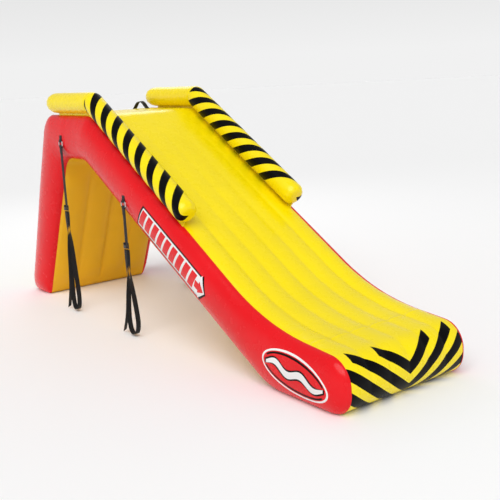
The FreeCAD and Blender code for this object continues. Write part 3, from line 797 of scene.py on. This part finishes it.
def side_panels():
    for name, side in SIDES:
        sheet, outer_u, inner_u, across = side_grid()
        height = side_height(sheet, outer_u, inner_u, across, side)
        points = np.stack([sheet[..., 0] + SHIFT, side * (SEAM_Y + height), sheet[..., 1]], axis=-1)
        piece = grid_object(f"side_{name}_skin", points, [RED], flip=side > 0)
        finish_sheet(piece, "red_pvc", f"side_panel_{name}")
    bpy.context.view_layer.update()
    depsgraph = bpy.context.evaluated_depsgraph_get()
    for name, side in SIDES:
        PANEL_TREES[side] = BVHTree.FromObject(bpy.data.objects[f"side_{name}_skin"], depsgraph)


def seam_beads():
    """The welded lip where each side panel meets the sheets: a thin rounded cord of the panel's own PVC."""
    u = np.linspace(0, TOTAL, 900, endpoint=False)
    line, out = outline_point(u), outline_normal(u)
    turns = np.linspace(0, 2 * math.pi, 8, endpoint=False)
    for name, side in SIDES:
        radius = 0.0021 + 0.0004 * waves(u, 0 * u, 71, 0.2, 2)
        rings = []
        for turn in turns:
            flat = line + out * (radius * math.cos(turn) - 0.0003)[:, None]
            y = side * (SEAM_Y + 0.0006) + radius * math.sin(turn)
            rings.append(np.stack([flat[:, 0] + SHIFT, y, np.maximum(flat[:, 1], 0)], axis=1))
        faces = ring_faces(len(u), len(turns), closed=True)
        piece = mesh_object(f"seam_bead_{name}", np.stack(rings, axis=1), faces, [RED])
        place(piece, "root", "red_pvc")


def seam_tapes():
    """The overlap where one sheet is welded to the next, where it shows."""
    profile = [(-0.013, -0.0003), (-0.0115, 0.0008), (0.0, 0.0011), (0.0115, 0.0008), (0.013, -0.0003)]
    y = across_rows(0.011)
    for name in ("wall_top", "deck_nose"):
        rows = [body_point(np.full_like(y, SEAMS[name] + step), y, lift) for step, lift in profile]
        place(grid_object(f"seam_tape_{name}", np.stack(rows), [YELLOW]), "root", "yellow_pvc")


# ---------------------------------------------------------------- rails

HALF_BEND = math.tan(SLIDE_ANGLE / 2)
RAIL_HEIGHT = PLATFORM + 0.015 + RAIL_RADIUS
RAIL_REAR = 0.710
RAIL_OVER_BED = 0.023
RAIL_BEND = BEND_X + ((RAIL_OVER_BED + RAIL_RADIUS) / math.cos(SLIDE_ANGLE) - (RAIL_HEIGHT - PLATFORM)) / FALL
RAIL_SLOPE = 1.33
STRIPE_PITCH = 0.163
STRIPE_FIRST = 0.035
STRIPE_SHARE = 0.5
LAST_STRIPE = 7
# A rail's rear end rounds in to this share of its radius, over this length.
NECK = 0.6
NECK_LENGTH = 0.095
LEVEL_WAY, LEVEL_UP = np.array([1.0, 0.0]), np.array([0.0, 1.0])
SLOPE_WAY = np.array([math.cos(SLIDE_ANGLE), -math.sin(SLIDE_ANGLE)])
SLOPE_UP = np.array([math.sin(SLIDE_ANGLE), math.cos(SLIDE_ANGLE)])


def rail_part(start, way, up, length, shares, turn, side, sloping):
    """The rows of one straight part of a rail, which has its mitred end at the bend."""
    share, angle = np.meshgrid(shares, turn, indexing="ij")
    lift = RAIL_RADIUS * np.cos(angle) * HALF_BEND
    along = share * length + lift * (share - 1 if sloping else share)
    from_bend = np.abs(along + lift if sloping else length + lift - along)
    radius = RAIL_RADIUS - 0.0042 * np.exp(-(from_bend / 0.009) ** 2)
    under = np.clip(-np.cos(angle), 0, 1)
    gathers = 0.6 + 0.4 * np.cos(angle * 9 + from_bend * 60)
    radius = radius - 0.004 * under * np.exp(-(from_bend / 0.06) ** 2) * gathers
    radius = radius + 0.0011 * waves(along + (2 if sloping else 0), angle * 0.06 + side, 81, 0.24, 3)
    if sloping:
        left = np.clip((length - along) / 0.07, 0, 1)
        closing = np.clip(1 - (1 - left) ** 3.2, 0, 1) ** (1 / 3.2)
        pleats = 0.022 * np.cos(angle * 11 + 1.3 * side) * np.exp(-((left - 0.42) / 0.3) ** 2)
        radius = radius * (closing * (1 - pleats * (left < 1)) + 0.004)
    else:
        near = np.clip(along / NECK_LENGTH, 0, 1)
        neck = NECK + (1 - NECK) * np.sqrt(1 - (1 - near) ** 2)
        pleats = 0.022 * np.cos(angle * 13 + 0.7 * side) * np.exp(-((near - 0.25) / 0.22) ** 2)
        radius = radius * neck * (1 - pleats)
    flat = start + way * along[..., None] + up * (radius * np.cos(angle))[..., None]
    y = side * (RAIL_Y + radius * np.sin(angle))
    points = np.stack([flat[..., 0] + SHIFT, y, flat[..., 1]], axis=-1)
    return points, along, angle


def rails():
    """Each rail as a level part over the platform and a striped part down beside the bed."""
    turn = np.linspace(-math.pi, math.pi, 81)
    rear, bend = np.array([RAIL_REAR, RAIL_HEIGHT]), np.array([RAIL_BEND, RAIL_HEIGHT])
    # Rows get closer together towards both ends of the rail.
    level_shares = 1 - np.cos(np.linspace(0, 1, 62) * math.pi / 2)
    even = np.linspace(0, 1, 150)
    shares = 0.45 * np.sin(even * math.pi / 2) + 0.55 * even
    shares = np.append(shares[:-12], 1 - (1 - shares[-12]) * (1 - np.linspace(0, 1, 22)) ** 4)
    black = math.cos(math.pi * STRIPE_SHARE)
    place_of = lambda along, angle: (along - STRIPE_FIRST - RAIL_RADIUS * angle) / STRIPE_PITCH
    stripe = lambda along, angle: np.cos(2 * math.pi * place_of(along, angle)) - black
    for name, side in SIDES:
        length = RAIL_BEND - RAIL_REAR
        points, _, _ = rail_part(rear, LEVEL_WAY, LEVEL_UP, length, level_shares, turn, side, False)
        level = grid_object(f"rail_{name}_level", points, [YELLOW], flip=side > 0)
        merge(level)
        finish_sheet(level, "yellow_pvc", f"rail_{name}")

        points, along, angle = rail_part(bend, SLOPE_WAY, SLOPE_UP, RAIL_SLOPE, shares, turn, side, True)
        skin = Skin(points, grid_faces(*along.shape, flip=side > 0), along=along, angle=angle)
        skin.cut(stripe)
        middles = skin.middles()
        index = ((stripe(**middles) > 0) & (place_of(**middles) < LAST_STRIPE + 0.5)).astype(int)
        slope = mesh_object(f"rail_{name}_slope", skin.points, skin.faces, [YELLOW, BLACK_PRINT], index)
        merge(slope)
        finish_sheet(slope, "yellow_pvc", f"rail_{name}", f"rail_front_cap_{name}")
        rail_end_disc(name, side)
        rail_flange(name, side)


def merge(piece):
    """Joins points that meet and turns every face outwards."""
    work = bmesh.new()
    work.from_mesh(piece.data)
    bmesh.ops.remove_doubles(work, verts=work.verts, dist=0.00002)
    bmesh.ops.recalc_face_normals(work, faces=work.faces)
    work.to_mesh(piece.data)
    work.free()


def rail_end_disc(name, side):
    """The domed red disc that closes a rail's rear end, over the neck of the tube."""
    profile = [(0.0462, 0.010), (0.0472, 0.009), (0.0476, 0.005), (0.0470, 0.0004), (0.0452, -0.0026),
               (0.041, -0.0052), (0.034, -0.0076), (0.025, -0.0094), (0.014, -0.0104), (0.005, -0.0107)]
    turns = np.linspace(0, 2 * math.pi, 64, endpoint=False)
    rings = []
    for radius, back in profile:
        ripple = radius * (1 + 0.006 * np.cos(turns * 13) * (back > -0.003))
        y = side * RAIL_Y + ripple * np.sin(turns)
        z = RAIL_HEIGHT + ripple * np.cos(turns)
        rings.append(np.stack([np.full_like(turns, RAIL_REAR + SHIFT + back), y, z], axis=1))
    piece = cup(f"rail_end_{name}", rings)
    merge(piece)
    place(piece, "root", "red_pvc", f"rail_rear_cap_{name}")


def rail_flange(name, side):
    """The upright web between the bed and the rail, flared where it is welded to each."""
    at = np.linspace(AT["wall_top"] + 0.05, AT["toe_top"] - 0.1, 3000)
    ends = (RAIL_REAR + NECK_LENGTH, RAIL_BEND + (RAIL_SLOPE - RAIL_RADIUS) * math.cos(SLIDE_ANGLE))
    u = np.linspace(*np.interp(ends, outline_point(at)[:, 0], at), 230)
    base, out = outline_point(u), outline_normal(u)
    to_level = (RAIL_HEIGHT - RAIL_RADIUS - base[:, 1]) / np.maximum(out[:, 1], 0.2)
    from_slope = (base - np.array([BEND_X, PLATFORM])) @ SLOPE_UP
    to_slope = (RAIL_OVER_BED - from_slope) / np.maximum(out @ SLOPE_UP, 0.2)
    gap = np.minimum(to_level, to_slope)
    v = np.linspace(0, 1, 11)
    half = 0.0019 + 0.0105 * np.abs(2 * v - 1) ** 3
    rise = -0.003 + (gap[:, None] + 0.0085) * v
    centre = base[:, None] + out[:, None] * rise[..., None]
    wander = 0.0008 * waves(u, 0 * u + side, 91, 0.15, 3)[:, None]
    rows = []
    for way in (-1, 1):
        y = side * RAIL_Y + way * half[None, :] + wander
        rows.append(np.stack([centre[..., 0] + SHIFT, y, centre[..., 1]], axis=-1))
    piece = bar_object(f"rail_flange_{name}", np.concatenate([rows[0], rows[1][:, ::-1]], axis=1), YELLOW)
    place(piece, "root", "yellow_pvc", f"rail_seam_{name}")


def bar_object(name, rings, material):
    """A closed bar over rows of points, each row once round it."""
    rows, count = rings.shape[:2]
    faces = ring_faces(rows, count) + [end_face(0, count), end_face(rows - 1, count)]
    piece = mesh_object(name, rings, faces, [material])
    merge(piece)
    return piece


# ---------------------------------------------------------------- webbing

def ribbon(name, line, sides, thick=WEB_THICK):
    """Webbing along a line of points. sides is the direction of its width, at each point or for all."""
    way = unit(np.gradient(line, axis=0))
    sides = unit(sides - (sides * way).sum(axis=1, keepdims=True) * way)
    face = unit(np.cross(sides, way))
    half, edge = WEB_WIDTH / 2, thick / 2
    shoulder = half - edge * 0.5
    outer, inner = half * 0.72, half * 0.36
    section = [(-half, 0.0), (-shoulder, 0.85), (-outer, 1), (-inner, 1), (0, 1), (inner, 1), (outer, 1),
               (shoulder, 0.85), (half, 0.0), (shoulder, -0.85), (outer, -1), (0, -1), (-outer, -1),
               (-shoulder, -0.85)]
    rings = [line + sides * across + face * layer * edge for across, layer in section]
    return bar_object(name, np.stack(rings, axis=1), WEBBING)


def nurbs_line(points, steps=14):
    """The smooth line of a NURBS spline with these control points."""
    curve = bpy.data.curves.new("route", "CURVE")
    curve.dimensions = "3D"
    spline = curve.splines.new("NURBS")
    spline.points.add(len(points) - 1)
    for point, place_at in zip(spline.points, points):
        point.co = (*place_at, 1)
    spline.order_u = 3
    spline.use_endpoint_u = True
    curve.resolution_u = steps
    holder = add_object("route", curve)
    bpy.context.view_layer.update()
    mesh = bpy.data.meshes.new_from_object(holder)
    line = np.array([v.co for v in mesh.vertices], float)
    bpy.data.objects.remove(holder)
    bpy.data.curves.remove(curve)
    bpy.data.meshes.remove(mesh)
    return line


STITCH_PITCH = 0.0045


def stitches(name, rows, facing):
    """Rows of short raised threads. Each row is (start, end), and the threads stand out towards facing."""
    facing = Vector(facing).normalized()
    work = bmesh.new()
    for start, end in rows:
        start, end = Vector(start), Vector(end)
        count = max(1, round((end - start).length / STITCH_PITCH))
        way = (end - start) / count
        aside = way.normalized().cross(facing) * 0.00042
        for i in range(count):
            a, b = start + way * (i + 0.12), start + way * (i + 0.88)
            mid = (a + b) / 2 + facing * 0.0005
            low = [work.verts.new(p) for p in (a - aside, a + aside, b + aside, b - aside)]
            high = [work.verts.new(p) for p in (mid - aside * 0.8, mid + aside * 0.8)]
            work.faces.new((low[0], low[1], high[1], high[0]))
            work.faces.new((high[0], high[1], low[2], low[3]))
            work.faces.new((low[1], low[2], high[1]))
            work.faces.new((low[3], low[0], high[0]))
    mesh = bpy.data.meshes.new(name)
    work.to_mesh(mesh)
    work.free()
    mesh.materials.append(THREAD)
    return add_object(name, mesh)


def box_stitch(corner, across, up):
    """The rows of a boxed cross from one corner."""
    a, b, c, d = corner, corner + across, corner + across + up, corner + up
    return [(a, b), (b, c), (c, d), (d, a), (a, c), (b, d)]


# ---------------------------------------------------------------- the grab handles

HANDLE_Y = 0.310
HANDLE_LEAN = math.radians(30)
PATCH = 0.003
PATCH_HALF = 0.035


def handles():
    """Webbing that arches over the platform's rear edge, sewn to a patch that follows the corner."""
    outer = PATCH + 0.0015
    round_top = CORNERS["wall_top"][2]
    centre = np.array([CORNERS["wall_top"][0] + round_top * math.tan(WALL_ANGLE / 2), PLATFORM - round_top])
    touch = centre + (round_top + outer) * np.array([-math.sin(HANDLE_LEAN), math.cos(HANDLE_LEAN)])
    flat = 0.016 * np.array([math.cos(HANDLE_LEAN), math.sin(HANDLE_LEAN)])
    corners = [(*(touch - flat), 0), (*(touch + flat), 0.025), (0.745, 1.5885, 0.09),
               (0.845, PLATFORM + outer, 0.025), (0.885, PLATFORM + outer, 0)]
    line, _, _ = trace(corners, 0.004, closed=False)
    along = np.concatenate([[0], np.cumsum(np.linalg.norm(np.diff(line, axis=0), axis=1))])
    even = np.linspace(0, along[-1], 110)
    line = np.stack([np.interp(even, along, line[:, k]) for k in (0, 1)], axis=1)
    middle = even / along[-1]
    free = smooth(middle, 0.1, 0.25) * (1 - smooth(middle, 0.75, 0.9))
    for name, side in SIDES:
        points = np.stack([line[:, 0] + SHIFT, side * HANDLE_Y + 0 * middle, line[:, 1]], axis=1)
        lean = side * (0.09 * np.sin(middle * math.pi) + 0.05 * np.sin(middle * 2 * math.pi)) * free
        sides = np.stack([0 * lean, np.cos(lean), np.sin(lean)], axis=1)
        piece = ribbon(f"handle_{name}", points, sides, 0.0024)
        place(piece, "root", "black_webbing", f"grab_handle_{name}")
        place(saddle_patch(f"handle_patch_{name}", side * HANDLE_Y), "root", "yellow_pvc", "handle_patches")

        y = side * HANDLE_Y - WEB_WIDTH / 2 + 0.004
        wide = np.array([0, WEB_WIDTH - 0.008, 0])
        start = np.array([0.851 + SHIFT, y, PLATFORM + outer + 0.0012])
        rows = box_stitch(start, wide, np.array([0.03, 0, 0]))
        place(stitches(f"handle_stitching_deck_{name}", rows, (0, 0, 1)), "root", "black_webbing")
        out = np.array([-math.sin(HANDLE_LEAN), 0, math.cos(HANDLE_LEAN)])
        x, z = touch - flat * 0.8
        start = np.array([x + SHIFT, y, z]) + out * 0.0012
        rows = box_stitch(start, wide, np.array([flat[0], 0, flat[1]]) * 1.5)
        place(stitches(f"handle_stitching_edge_{name}", rows, out), "root", "black_webbing")


def saddle_patch(name, y):
    """A reinforcing patch that runs from the wall over the corner and onto the deck."""
    start, end = where("wall_top", "foot_rear", 0.130), where("wall_top", "deck_bend", 0.300)
    edge = np.array([0, 0.0002, 0.0016, 0.004, 0.014])
    lift = np.array([-0.0012, 0.0012, 0.0021, 0.0025, 0.0026])
    u = np.concatenate([start + edge, np.linspace(start + 0.02, end - 0.02, 40), (end - edge)[::-1]])
    v = np.concatenate([edge - PATCH_HALF, np.linspace(-0.018, 0.018, 7), (PATCH_HALF - edge)[::-1]])
    from_edge = np.minimum(np.minimum(u - start, end - u)[:, None], (PATCH_HALF - np.abs(v))[None, :])
    u, v = np.meshgrid(u, v, indexing="ij")
    return grid_object(name, body_point(u, y + v, np.interp(from_edge, edge, lift)), [YELLOW])


# ---------------------------------------------------------------- tie-down straps

STRAP_Y = 0.524
ANCHORS = {
    "rear_right": ("rear", -1),
    "rear_left": ("rear", 1),
    "front_right": ("front", -1),
    "front_left": ("front", 1),
}
ANCHOR_AT = {"rear": (0.960, 1.312), "front": (1.850, 0.940)}
TOP_LENGTH = {"rear": 0.480, "front": 0.280}
# Routes below the buckle: (to the right as seen from outside, outwards, height above the ground), in metres.
LOOPS = {
    "rear": [(0.007, -0.004, 0.785), (0.011, -0.004, 0.650), (0.024, -0.003, 0.440),
             (0.060, -0.001, 0.235), (0.076, 0, 0.105), (0.050, 0, 0.018), (-0.014, 0, 0.018),
             (-0.034, 0, 0.110), (-0.027, 0, 0.275), (-0.009, 0, 0.470), (-0.002, 0, 0.650),
             (-0.004, 0, 0.785)],
    "front": [(0.007, -0.004, 0.612), (0.010, -0.004, 0.510), (0.022, -0.003, 0.360),
              (0.062, -0.001, 0.205), (0.082, 0, 0.100), (0.052, 0, 0.018), (-0.022, 0, 0.018),
              (-0.046, 0, 0.105), (-0.036, 0, 0.230), (-0.012, 0, 0.380), (-0.002, 0, 0.500),
              (-0.004, 0, 0.612)],
}
TAILS = {
    "rear": [(-0.010, 0.0045, 0.785), (-0.015, 0.0045, 0.640), (-0.028, 0.003, 0.450),
             (-0.048, 0.0015, 0.270), (-0.074, 0.0005, 0.130), (-0.118, 0, 0.012)],
    "front": [(-0.010, 0.0045, 0.612), (-0.015, 0.0045, 0.500), (-0.028, 0.003, 0.350),
              (-0.052, 0.0015, 0.210), (-0.082, 0.0005, 0.100), (-0.124, 0, 0.012)],
}
LOOP_LENGTH = {"rear": 1.590, "front": 1.259}
TAIL_LENGTH = {"rear": 0.785, "front": 0.616}
BUCKLE_HEIGHT = 0.042
# The hanging parts below each buckle: (route, length, turn from face on at the buckle to edge on, far end).
BELOW = {
    "loop": (LOOPS, LOOP_LENGTH, math.radians(88), "object"),
    "tail": (TAILS, TAIL_LENGTH, math.radians(62), "bare"),
}


def anchor_map(end, side):
    """From (across, outwards, height above the ground) at an anchor to the row frame."""
    x0 = ANCHOR_AT[end][0] + SHIFT

    def to_row(points):
        points = np.atleast_2d(np.asarray(points, float))
        return np.stack([x0 - side * points[:, 0], side * (STRAP_Y + points[:, 1]), points[:, 2]], axis=1)

    return to_row


def straps():
    """Each anchor's strap, from its ring down to the buckle, and the loop and tail below."""
    for name, (end, side) in ANCHORS.items():
        to_row = anchor_map(end, side)
        ring_z = ANCHOR_AT[end][1]
        body = f"strap_body_{name}"
        right = to_row([(1, 0, 0)])[0] - to_row([(0, 0, 0)])[0]
        outward = to_row([(0, 1, 0)])[0] - to_row([(0, 0, 0)])[0]
        buckle_top = ring_z - TOP_LENGTH[end]
        bottom = buckle_top - BUCKLE_HEIGHT

        start = ring_z - 0.052
        drop = start - buckle_top
        route = [(0, 0, start), (0.0006, 0.0004, start - drop * 0.3), (-0.0006, -0.0004, start - drop * 0.68),
                 (0, 0, buckle_top - 0.004)]
        line = nurbs_line(to_row(route))
        fold = strap_fold(name, to_row, right, ring_z)
        hardware = buckle_pieces(name)
        strap = ribbon(f"tie_strap_{name}", line, right)
        place(strap, body, "black_webbing", f"strap_{name}")
        corner = to_row([(-0.0145, 0.0036, ring_z - 0.083)])[0]
        sewing = box_stitch(corner, right * 0.029, np.array([0, 0, 0.026]))
        sewn = place(stitches(f"strap_stitching_{name}", sewing, outward), body, "black_webbing")

        for part, (routes, lengths, most, far_end) in BELOW.items():
            line = nurbs_line(to_row(routes[end]), 18)
            turn = most * smooth(bottom - line[:, 2], 0.03, 0.36)
            sides = np.cos(turn)[:, None] * right + np.sin(turn)[:, None] * outward
            piece = ribbon(f"tie_{part}_{name}", line, sides)
            place(piece, body, "black_webbing", f"strap_{part}_{name}")
        anchor(name, end, side, to_row, right, outward, ring_z)


def strap_fold(name, to_row, right, ring_z):
    """The strap's top: round the ring's lower bar and sewn down on itself."""
    bar = ring_z - 0.032
    loop = [(0.0, -0.021), (-0.0012, -0.012), (-0.0056, -0.003), (-0.0052, 0.0043), (0, 0.0064),
            (0.0052, 0.0044), (0.006, -0.004), (0.0028, -0.014), (0.0024, -0.034), (0.0024, -0.058)]
    line = nurbs_line(to_row([(0, out, bar + up) for out, up in loop]), 8)
    piece = ribbon(f"strap_fold_{name}", line, right)
    return place(piece, f"strap_body_{name}", "black_webbing")


def anchor(name, end, side, to_row, right, outward, ring_z):
    """A round welded patch, and a folded tab sewn to it that holds the ring."""
    rings = []
    turns = np.linspace(0, 2 * math.pi, 56, endpoint=False)
    centre_x, centre_z = ANCHOR_AT[end][0] + SHIFT, ring_z + 0.012
    profile = [(0.052, -0.001), (0.0518, 0.0009), (0.0506, 0.0014), (0.048, 0.0015), (0.036, 0.0015),
               (0.02, 0.0015)]
    for radius, lift in profile:
        x = centre_x + radius * np.cos(turns)
        z = centre_z + radius * np.sin(turns)
        rings.append(np.stack([x, side * (panel_face(side, x, z) + lift), z], axis=1))
    piece = cup(f"anchor_disc_{name}", rings)
    merge(piece)
    place(piece, "root", "red_pvc", "anchor_patches")

    tab = [(-0.0058, 0.046), (-0.0058, 0.026), (-0.0058, 0.006), (-0.0054, -0.0045), (0, -0.0068),
           (0.0056, -0.004), (0.0052, 0.005), (-0.0008, 0.0125), (-0.0034, 0.024), (-0.0034, 0.043)]
    line = nurbs_line(to_row([(0, out, ring_z + up) for out, up in tab]), 8)
    place(ribbon(f"ring_tab_{name}", line, right), "root", "black_webbing", "ring_tabs")
    corner = to_row([(-0.0145, -0.0022, ring_z + 0.022)])[0]
    sewing = box_stitch(corner, right * 0.029, np.array([0, 0, 0.018]))
    place(stitches(f"tab_stitching_{name}", sewing, outward), "root", "black_webbing")


def panel_face(side, x, z):
    """How far out the side panel's face is at each place."""
    tree = PANEL_TREES[side]
    found = []
    for across, up in zip(np.ravel(x), np.ravel(z)):
        hit = tree.ray_cast(Vector((across, side * 2, up)), Vector((0, -side, 0)))[0]
        found.append(abs(hit.y) if hit else SEAM_Y)
    return np.array(found)


def buckle_pieces(name):
    """The buckle and cam, as softened copies of their CAD nodes, and the steel pin as it is."""
    buckle = softened(f"buckle_{name}", 0.0007, BUCKLE, f"strap_body_{name}", "black_plastic")
    cam = softened(f"cam_{name}", 0.0006, BUCKLE, f"cam_body_{name}", "black_plastic")
    finish_node(f"cam_pin_{name}", STEEL)
    finish_node(f"ring_{name}", STEEL)
    return [buckle, cam]


def softened(node, width, material, body, slot):
    """A copy of a CAD node whose edges are rounded as moulded ones are."""
    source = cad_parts[node]
    mesh = source.data.copy()
    mesh.transform(source.matrix_world)
    mesh.materials.clear()
    mesh.materials.append(material)
    work = bmesh.new()
    work.from_mesh(mesh)
    bmesh.ops.remove_doubles(work, verts=work.verts, dist=0.00001)
    bmesh.ops.dissolve_limit(work, angle_limit=math.radians(3), verts=work.verts, edges=work.edges)
    for face in work.faces:
        face.material_index = 0
        face.smooth = True
    work.to_mesh(mesh)
    work.free()
    piece = add_object(node + "_moulding", mesh)
    bevel = piece.modifiers.new("edges", "BEVEL")
    bevel.width = width
    bevel.segments = 2
    bevel.limit_method = "ANGLE"
    bevel.angle_limit = math.radians(35)
    bevel.harden_normals = True
    return place(piece, body, slot, node)


def finish_node(node, material):
    """Gives a CAD node that stays its material."""
    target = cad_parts[node]
    if not target.material_slots:
        target.data.materials.append(material)
    for material_slot in target.material_slots:
        material_slot.link = "OBJECT"
        material_slot.material = material


# ---------------------------------------------------------------- printed marks

def filled(outline, step):
    """(points, triangles) that fill an outline, with points about step apart."""
    outline = np.asarray(outline, float)
    edge = []
    for a, b in zip(outline, np.roll(outline, -1, axis=0)):
        count = max(1, math.ceil(np.linalg.norm(b - a) / step))
        edge += [a + (b - a) * i / count for i in range(count)]
    edge = np.array(edge)
    low_corner, high_corner = edge.min(axis=0), edge.max(axis=0)
    gx, gy = np.meshgrid(*(np.arange(a, b, step) for a, b in zip(low_corner, high_corner)))
    inner = np.stack([gx.ravel(), gy.ravel()], axis=1) + step * 0.37
    a, b = edge, np.roll(edge, -1, axis=0)
    keep = []
    for p in inner:
        crossing = (a[:, 1] > p[1]) != (b[:, 1] > p[1])
        with np.errstate(divide="ignore", invalid="ignore"):
            at = a[:, 0] + (p[1] - a[:, 1]) * (b[:, 0] - a[:, 0]) / (b[:, 1] - a[:, 1])
        inside = (crossing & (p[0] < at)).sum() % 2 == 1
        if inside and np.linalg.norm(edge - p, axis=1).min() > step * 0.45:
            keep.append(p)
    points = np.concatenate([edge, np.array(keep).reshape(-1, 2)])
    made = delaunay_2d_cdt([Vector(p) for p in points], [], [list(range(len(edge)))], 1, 1e-7)
    return np.array([tuple(v) for v in made[0]]), [list(f) for f in made[2]]


def turned(points, angle, centre):
    """Points turned about the middle and moved to a centre."""
    c, s = math.cos(angle), math.sin(angle)
    return np.asarray(points, float) @ np.array([[c, s], [-s, c]]) + np.array(centre)


def printed(name, shapes, step, point_of, way, material, slot):
    """Flat shapes laid on a surface. point_of gives a place's point, and way is the surface's direction."""
    points, faces, base = [], [], 0
    for shape in shapes:
        flat, triangles = filled(shape, step)
        points.append(point_of(flat[:, 0], flat[:, 1]))
        faces += [[base + i for i in face] for face in triangles]
        base += len(flat)
    piece = mesh_object(name, np.concatenate(points), faces, [material])
    for polygon in piece.data.polygons:
        if polygon.normal.dot(Vector(way)) < 0:
            polygon.flip()
    piece.data.update()
    place(piece, "root", slot)


def on_panel(name, side, shapes, lift, material):
    """Prints shapes, given in the outline's own coordinates, on a side panel."""
    def point_of(across, up):
        x = across + SHIFT
        return np.stack([x, side * (panel_face(side, x, up) + lift), up], axis=1)

    printed(name, shapes, 0.0105, point_of, (0, side, 0), material, "red_pvc")


def ellipse(rx, ry, count=72, start=0.0, end=2 * math.pi):
    a = np.linspace(start, end, count, endpoint=end - start < 6.28)
    return np.stack([rx * np.cos(a), ry * np.sin(a)], axis=1)


def band(rx, ry, thick, start, end, count=60):
    """Part of an oval ring."""
    outer = ellipse(rx, ry, count, start, end)
    inner = ellipse(rx - thick, ry - thick, count, start, end)
    return np.concatenate([outer, inner[::-1]])


PLATE_CENTRE = (2.391, 0.667)
PLATE_HALF = (0.425, 0.083)
PLATE_TILT = math.radians(1) - SLIDE_ANGLE
BAR_WIDTH = 0.058
BAR_PITCH = 0.078
BAR_LEAN = 0.22
BADGE_CENTRE = (3.545, 0.163)
BADGE_TILT = math.radians(-10)
BADGE_HALF = (0.262, 0.112)
BADGE_LINE = 0.012


def plate(grow=0.0):
    """The side plate's outline, with a pointed end."""
    half, tall = PLATE_HALF
    tip, tall = half + grow * 1.5, tall + grow
    return [(-tip, -tall), (tip - 0.075, -tall), (tip - 0.068, -tall - 0.014), (tip, 0.0),
            (tip - 0.068, tall + 0.014), (tip - 0.075, tall), (-tip + 0.03, tall)]


def plate_bars():
    """Leaning bars and an arrow."""
    half, tall = PLATE_HALF[0], PLATE_HALF[1] - 0.021
    slide = BAR_LEAN * tall
    bars, x = [], -half + 0.035
    while x < half - 0.15:
        bars.append([(x - slide, -tall), (x + BAR_WIDTH - slide, -tall),
                     (x + BAR_WIDTH + slide, tall), (x + slide, tall)])
        x += BAR_PITCH
    arrow = [(-0.125, -0.026), (-0.085, -0.026), (-0.085, -0.045), (-0.026, 0.0), (-0.085, 0.045),
             (-0.085, 0.026), (-0.125, 0.026)]
    return bars + [[(half + x, y) for x, y in arrow]]


def badge_wave(reach, thick):
    t = np.linspace(-1, 1, 50)
    wave = 0.018 * np.sin(t * 2.2 * math.pi)
    taper = thick * (1 - 0.55 * np.abs(t) ** 3)
    low_edge, high_edge = (np.stack([t * reach, wave + way * taper], axis=1) for way in (-1, 1))
    return np.concatenate([low_edge, high_edge[::-1]])


def side_marks():
    """A plate of bars and an oval badge with a wave, on each side panel."""
    rx, ry = BADGE_HALF
    oval = [band(rx, ry, BADGE_LINE, start, start + math.pi) for start in (0, math.pi)]
    arcs = [band(rx - 0.018, ry - 0.018, BADGE_LINE, *ends) for ends in ((0.35, 2.8), (3.5, 5.9))]
    on_plate, on_badge = (PLATE_TILT, PLATE_CENTRE), (BADGE_TILT, BADGE_CENTRE)
    marks = [
        ("mark_edge", [plate()], on_plate, 0.0004, BLACK_PRINT),
        ("mark_plate", [plate(-0.009)], on_plate, 0.0008, WHITE_PRINT),
        ("mark_bars", plate_bars(), on_plate, 0.0012, RED),
        ("badge_ring", oval, on_badge, 0.0004, WHITE_PRINT),
        ("badge_arc", arcs, on_badge, 0.0004, BLACK_PRINT),
        ("badge_edge", [badge_wave(0.236, 0.031)], on_badge, 0.0004, BLACK_PRINT),
        ("badge_wave", [badge_wave(0.226, 0.021)], on_badge, 0.0008, WHITE_PRINT),
    ]
    for name, side in SIDES:
        for mark, shapes, at, lift, material in marks:
            on_panel(f"{mark}_{name}", side, [turned(shape, *at) for shape in shapes], lift, material)


LABEL_YELLOW = pvc("print_label", (0.84, 0.70, 0.03), 0.34)
LINE_GREY = pvc("print_line", (0.20, 0.17, 0.02), 0.35)
LABELS = ((0.245, 1.345), (0.258, 1.165), (0.272, 0.965))
ROUNDELS = ((0.305, 1.47), (0.062, 1.47), (-0.166, 1.47), (-0.372, 1.47), (0.031, 1.33))


def on_wall_face(name, shapes, lift, material):
    """Prints shapes, given as (Y, height up the wall), on the climbing wall."""
    at = np.linspace(AT["foot_rear"] + 0.03, AT["wall_top"], 2500)
    heights = wall_height(at)
    point_of = lambda y, up: body_point(np.interp(up, heights, at), y, lift)
    way = (-math.sin(WALL_ANGLE), 0, math.cos(WALL_ANGLE))
    printed(name, shapes, 0.011, point_of, way, material, "yellow_pvc")


def wall_marks():
    """Blank labels, each under a black bar, and thin plain circles."""
    box_at = lambda y, up, w, h: np.array([(y, up), (y + w, up), (y + w, up + h), (y, up + h)])
    fields = [box_at(y, up - 0.135, 0.15, 0.122) for y, up in LABELS]
    bars = [box_at(y - 0.008, up - 0.006, 0.166, 0.0095) for y, up in LABELS]
    on_wall_face("label_fields", fields, 0.0007, LABEL_YELLOW)
    on_wall_face("label_bars", bars, 0.0009, BLACK_PRINT)
    halves = []
    for y, up in ROUNDELS:
        for start in (0.0, math.pi):
            halves.append(band(0.052, 0.052, 0.0032, start, start + math.pi, 40) + np.array([y, up]))
            if y > -0.3:
                halves.append(band(0.021, 0.021, 0.0026, start, start + math.pi, 20) + np.array([y, up]))
    on_wall_face("label_circles", halves, 0.0009, LINE_GREY)


# ---------------------------------------------------------------- the whole slide

def leftover_nodes():
    for node, material in (("slide_baffles", YELLOW), ("wall_baffles", YELLOW), ("valve_base", VALVE),
                           ("valve_insert", VALVE), ("valve_flap", RUBBER), ("valve_cap", VALVE)):
        finish_node(node, material)


add_camera()
side_panels()
straps()
sheets()
seam_beads()
seam_tapes()
rails()
handles()
side_marks()
wall_marks()
leftover_nodes()
add_stage()
bpy.context.scene.view_settings.view_transform = "Standard"

bpy.context.view_layer.update()
boxes = {"cad": cad_box, "visual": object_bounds()}
{k: [[round(c, 5) for c in corner] for corner in v] for k, v in boxes.items()}
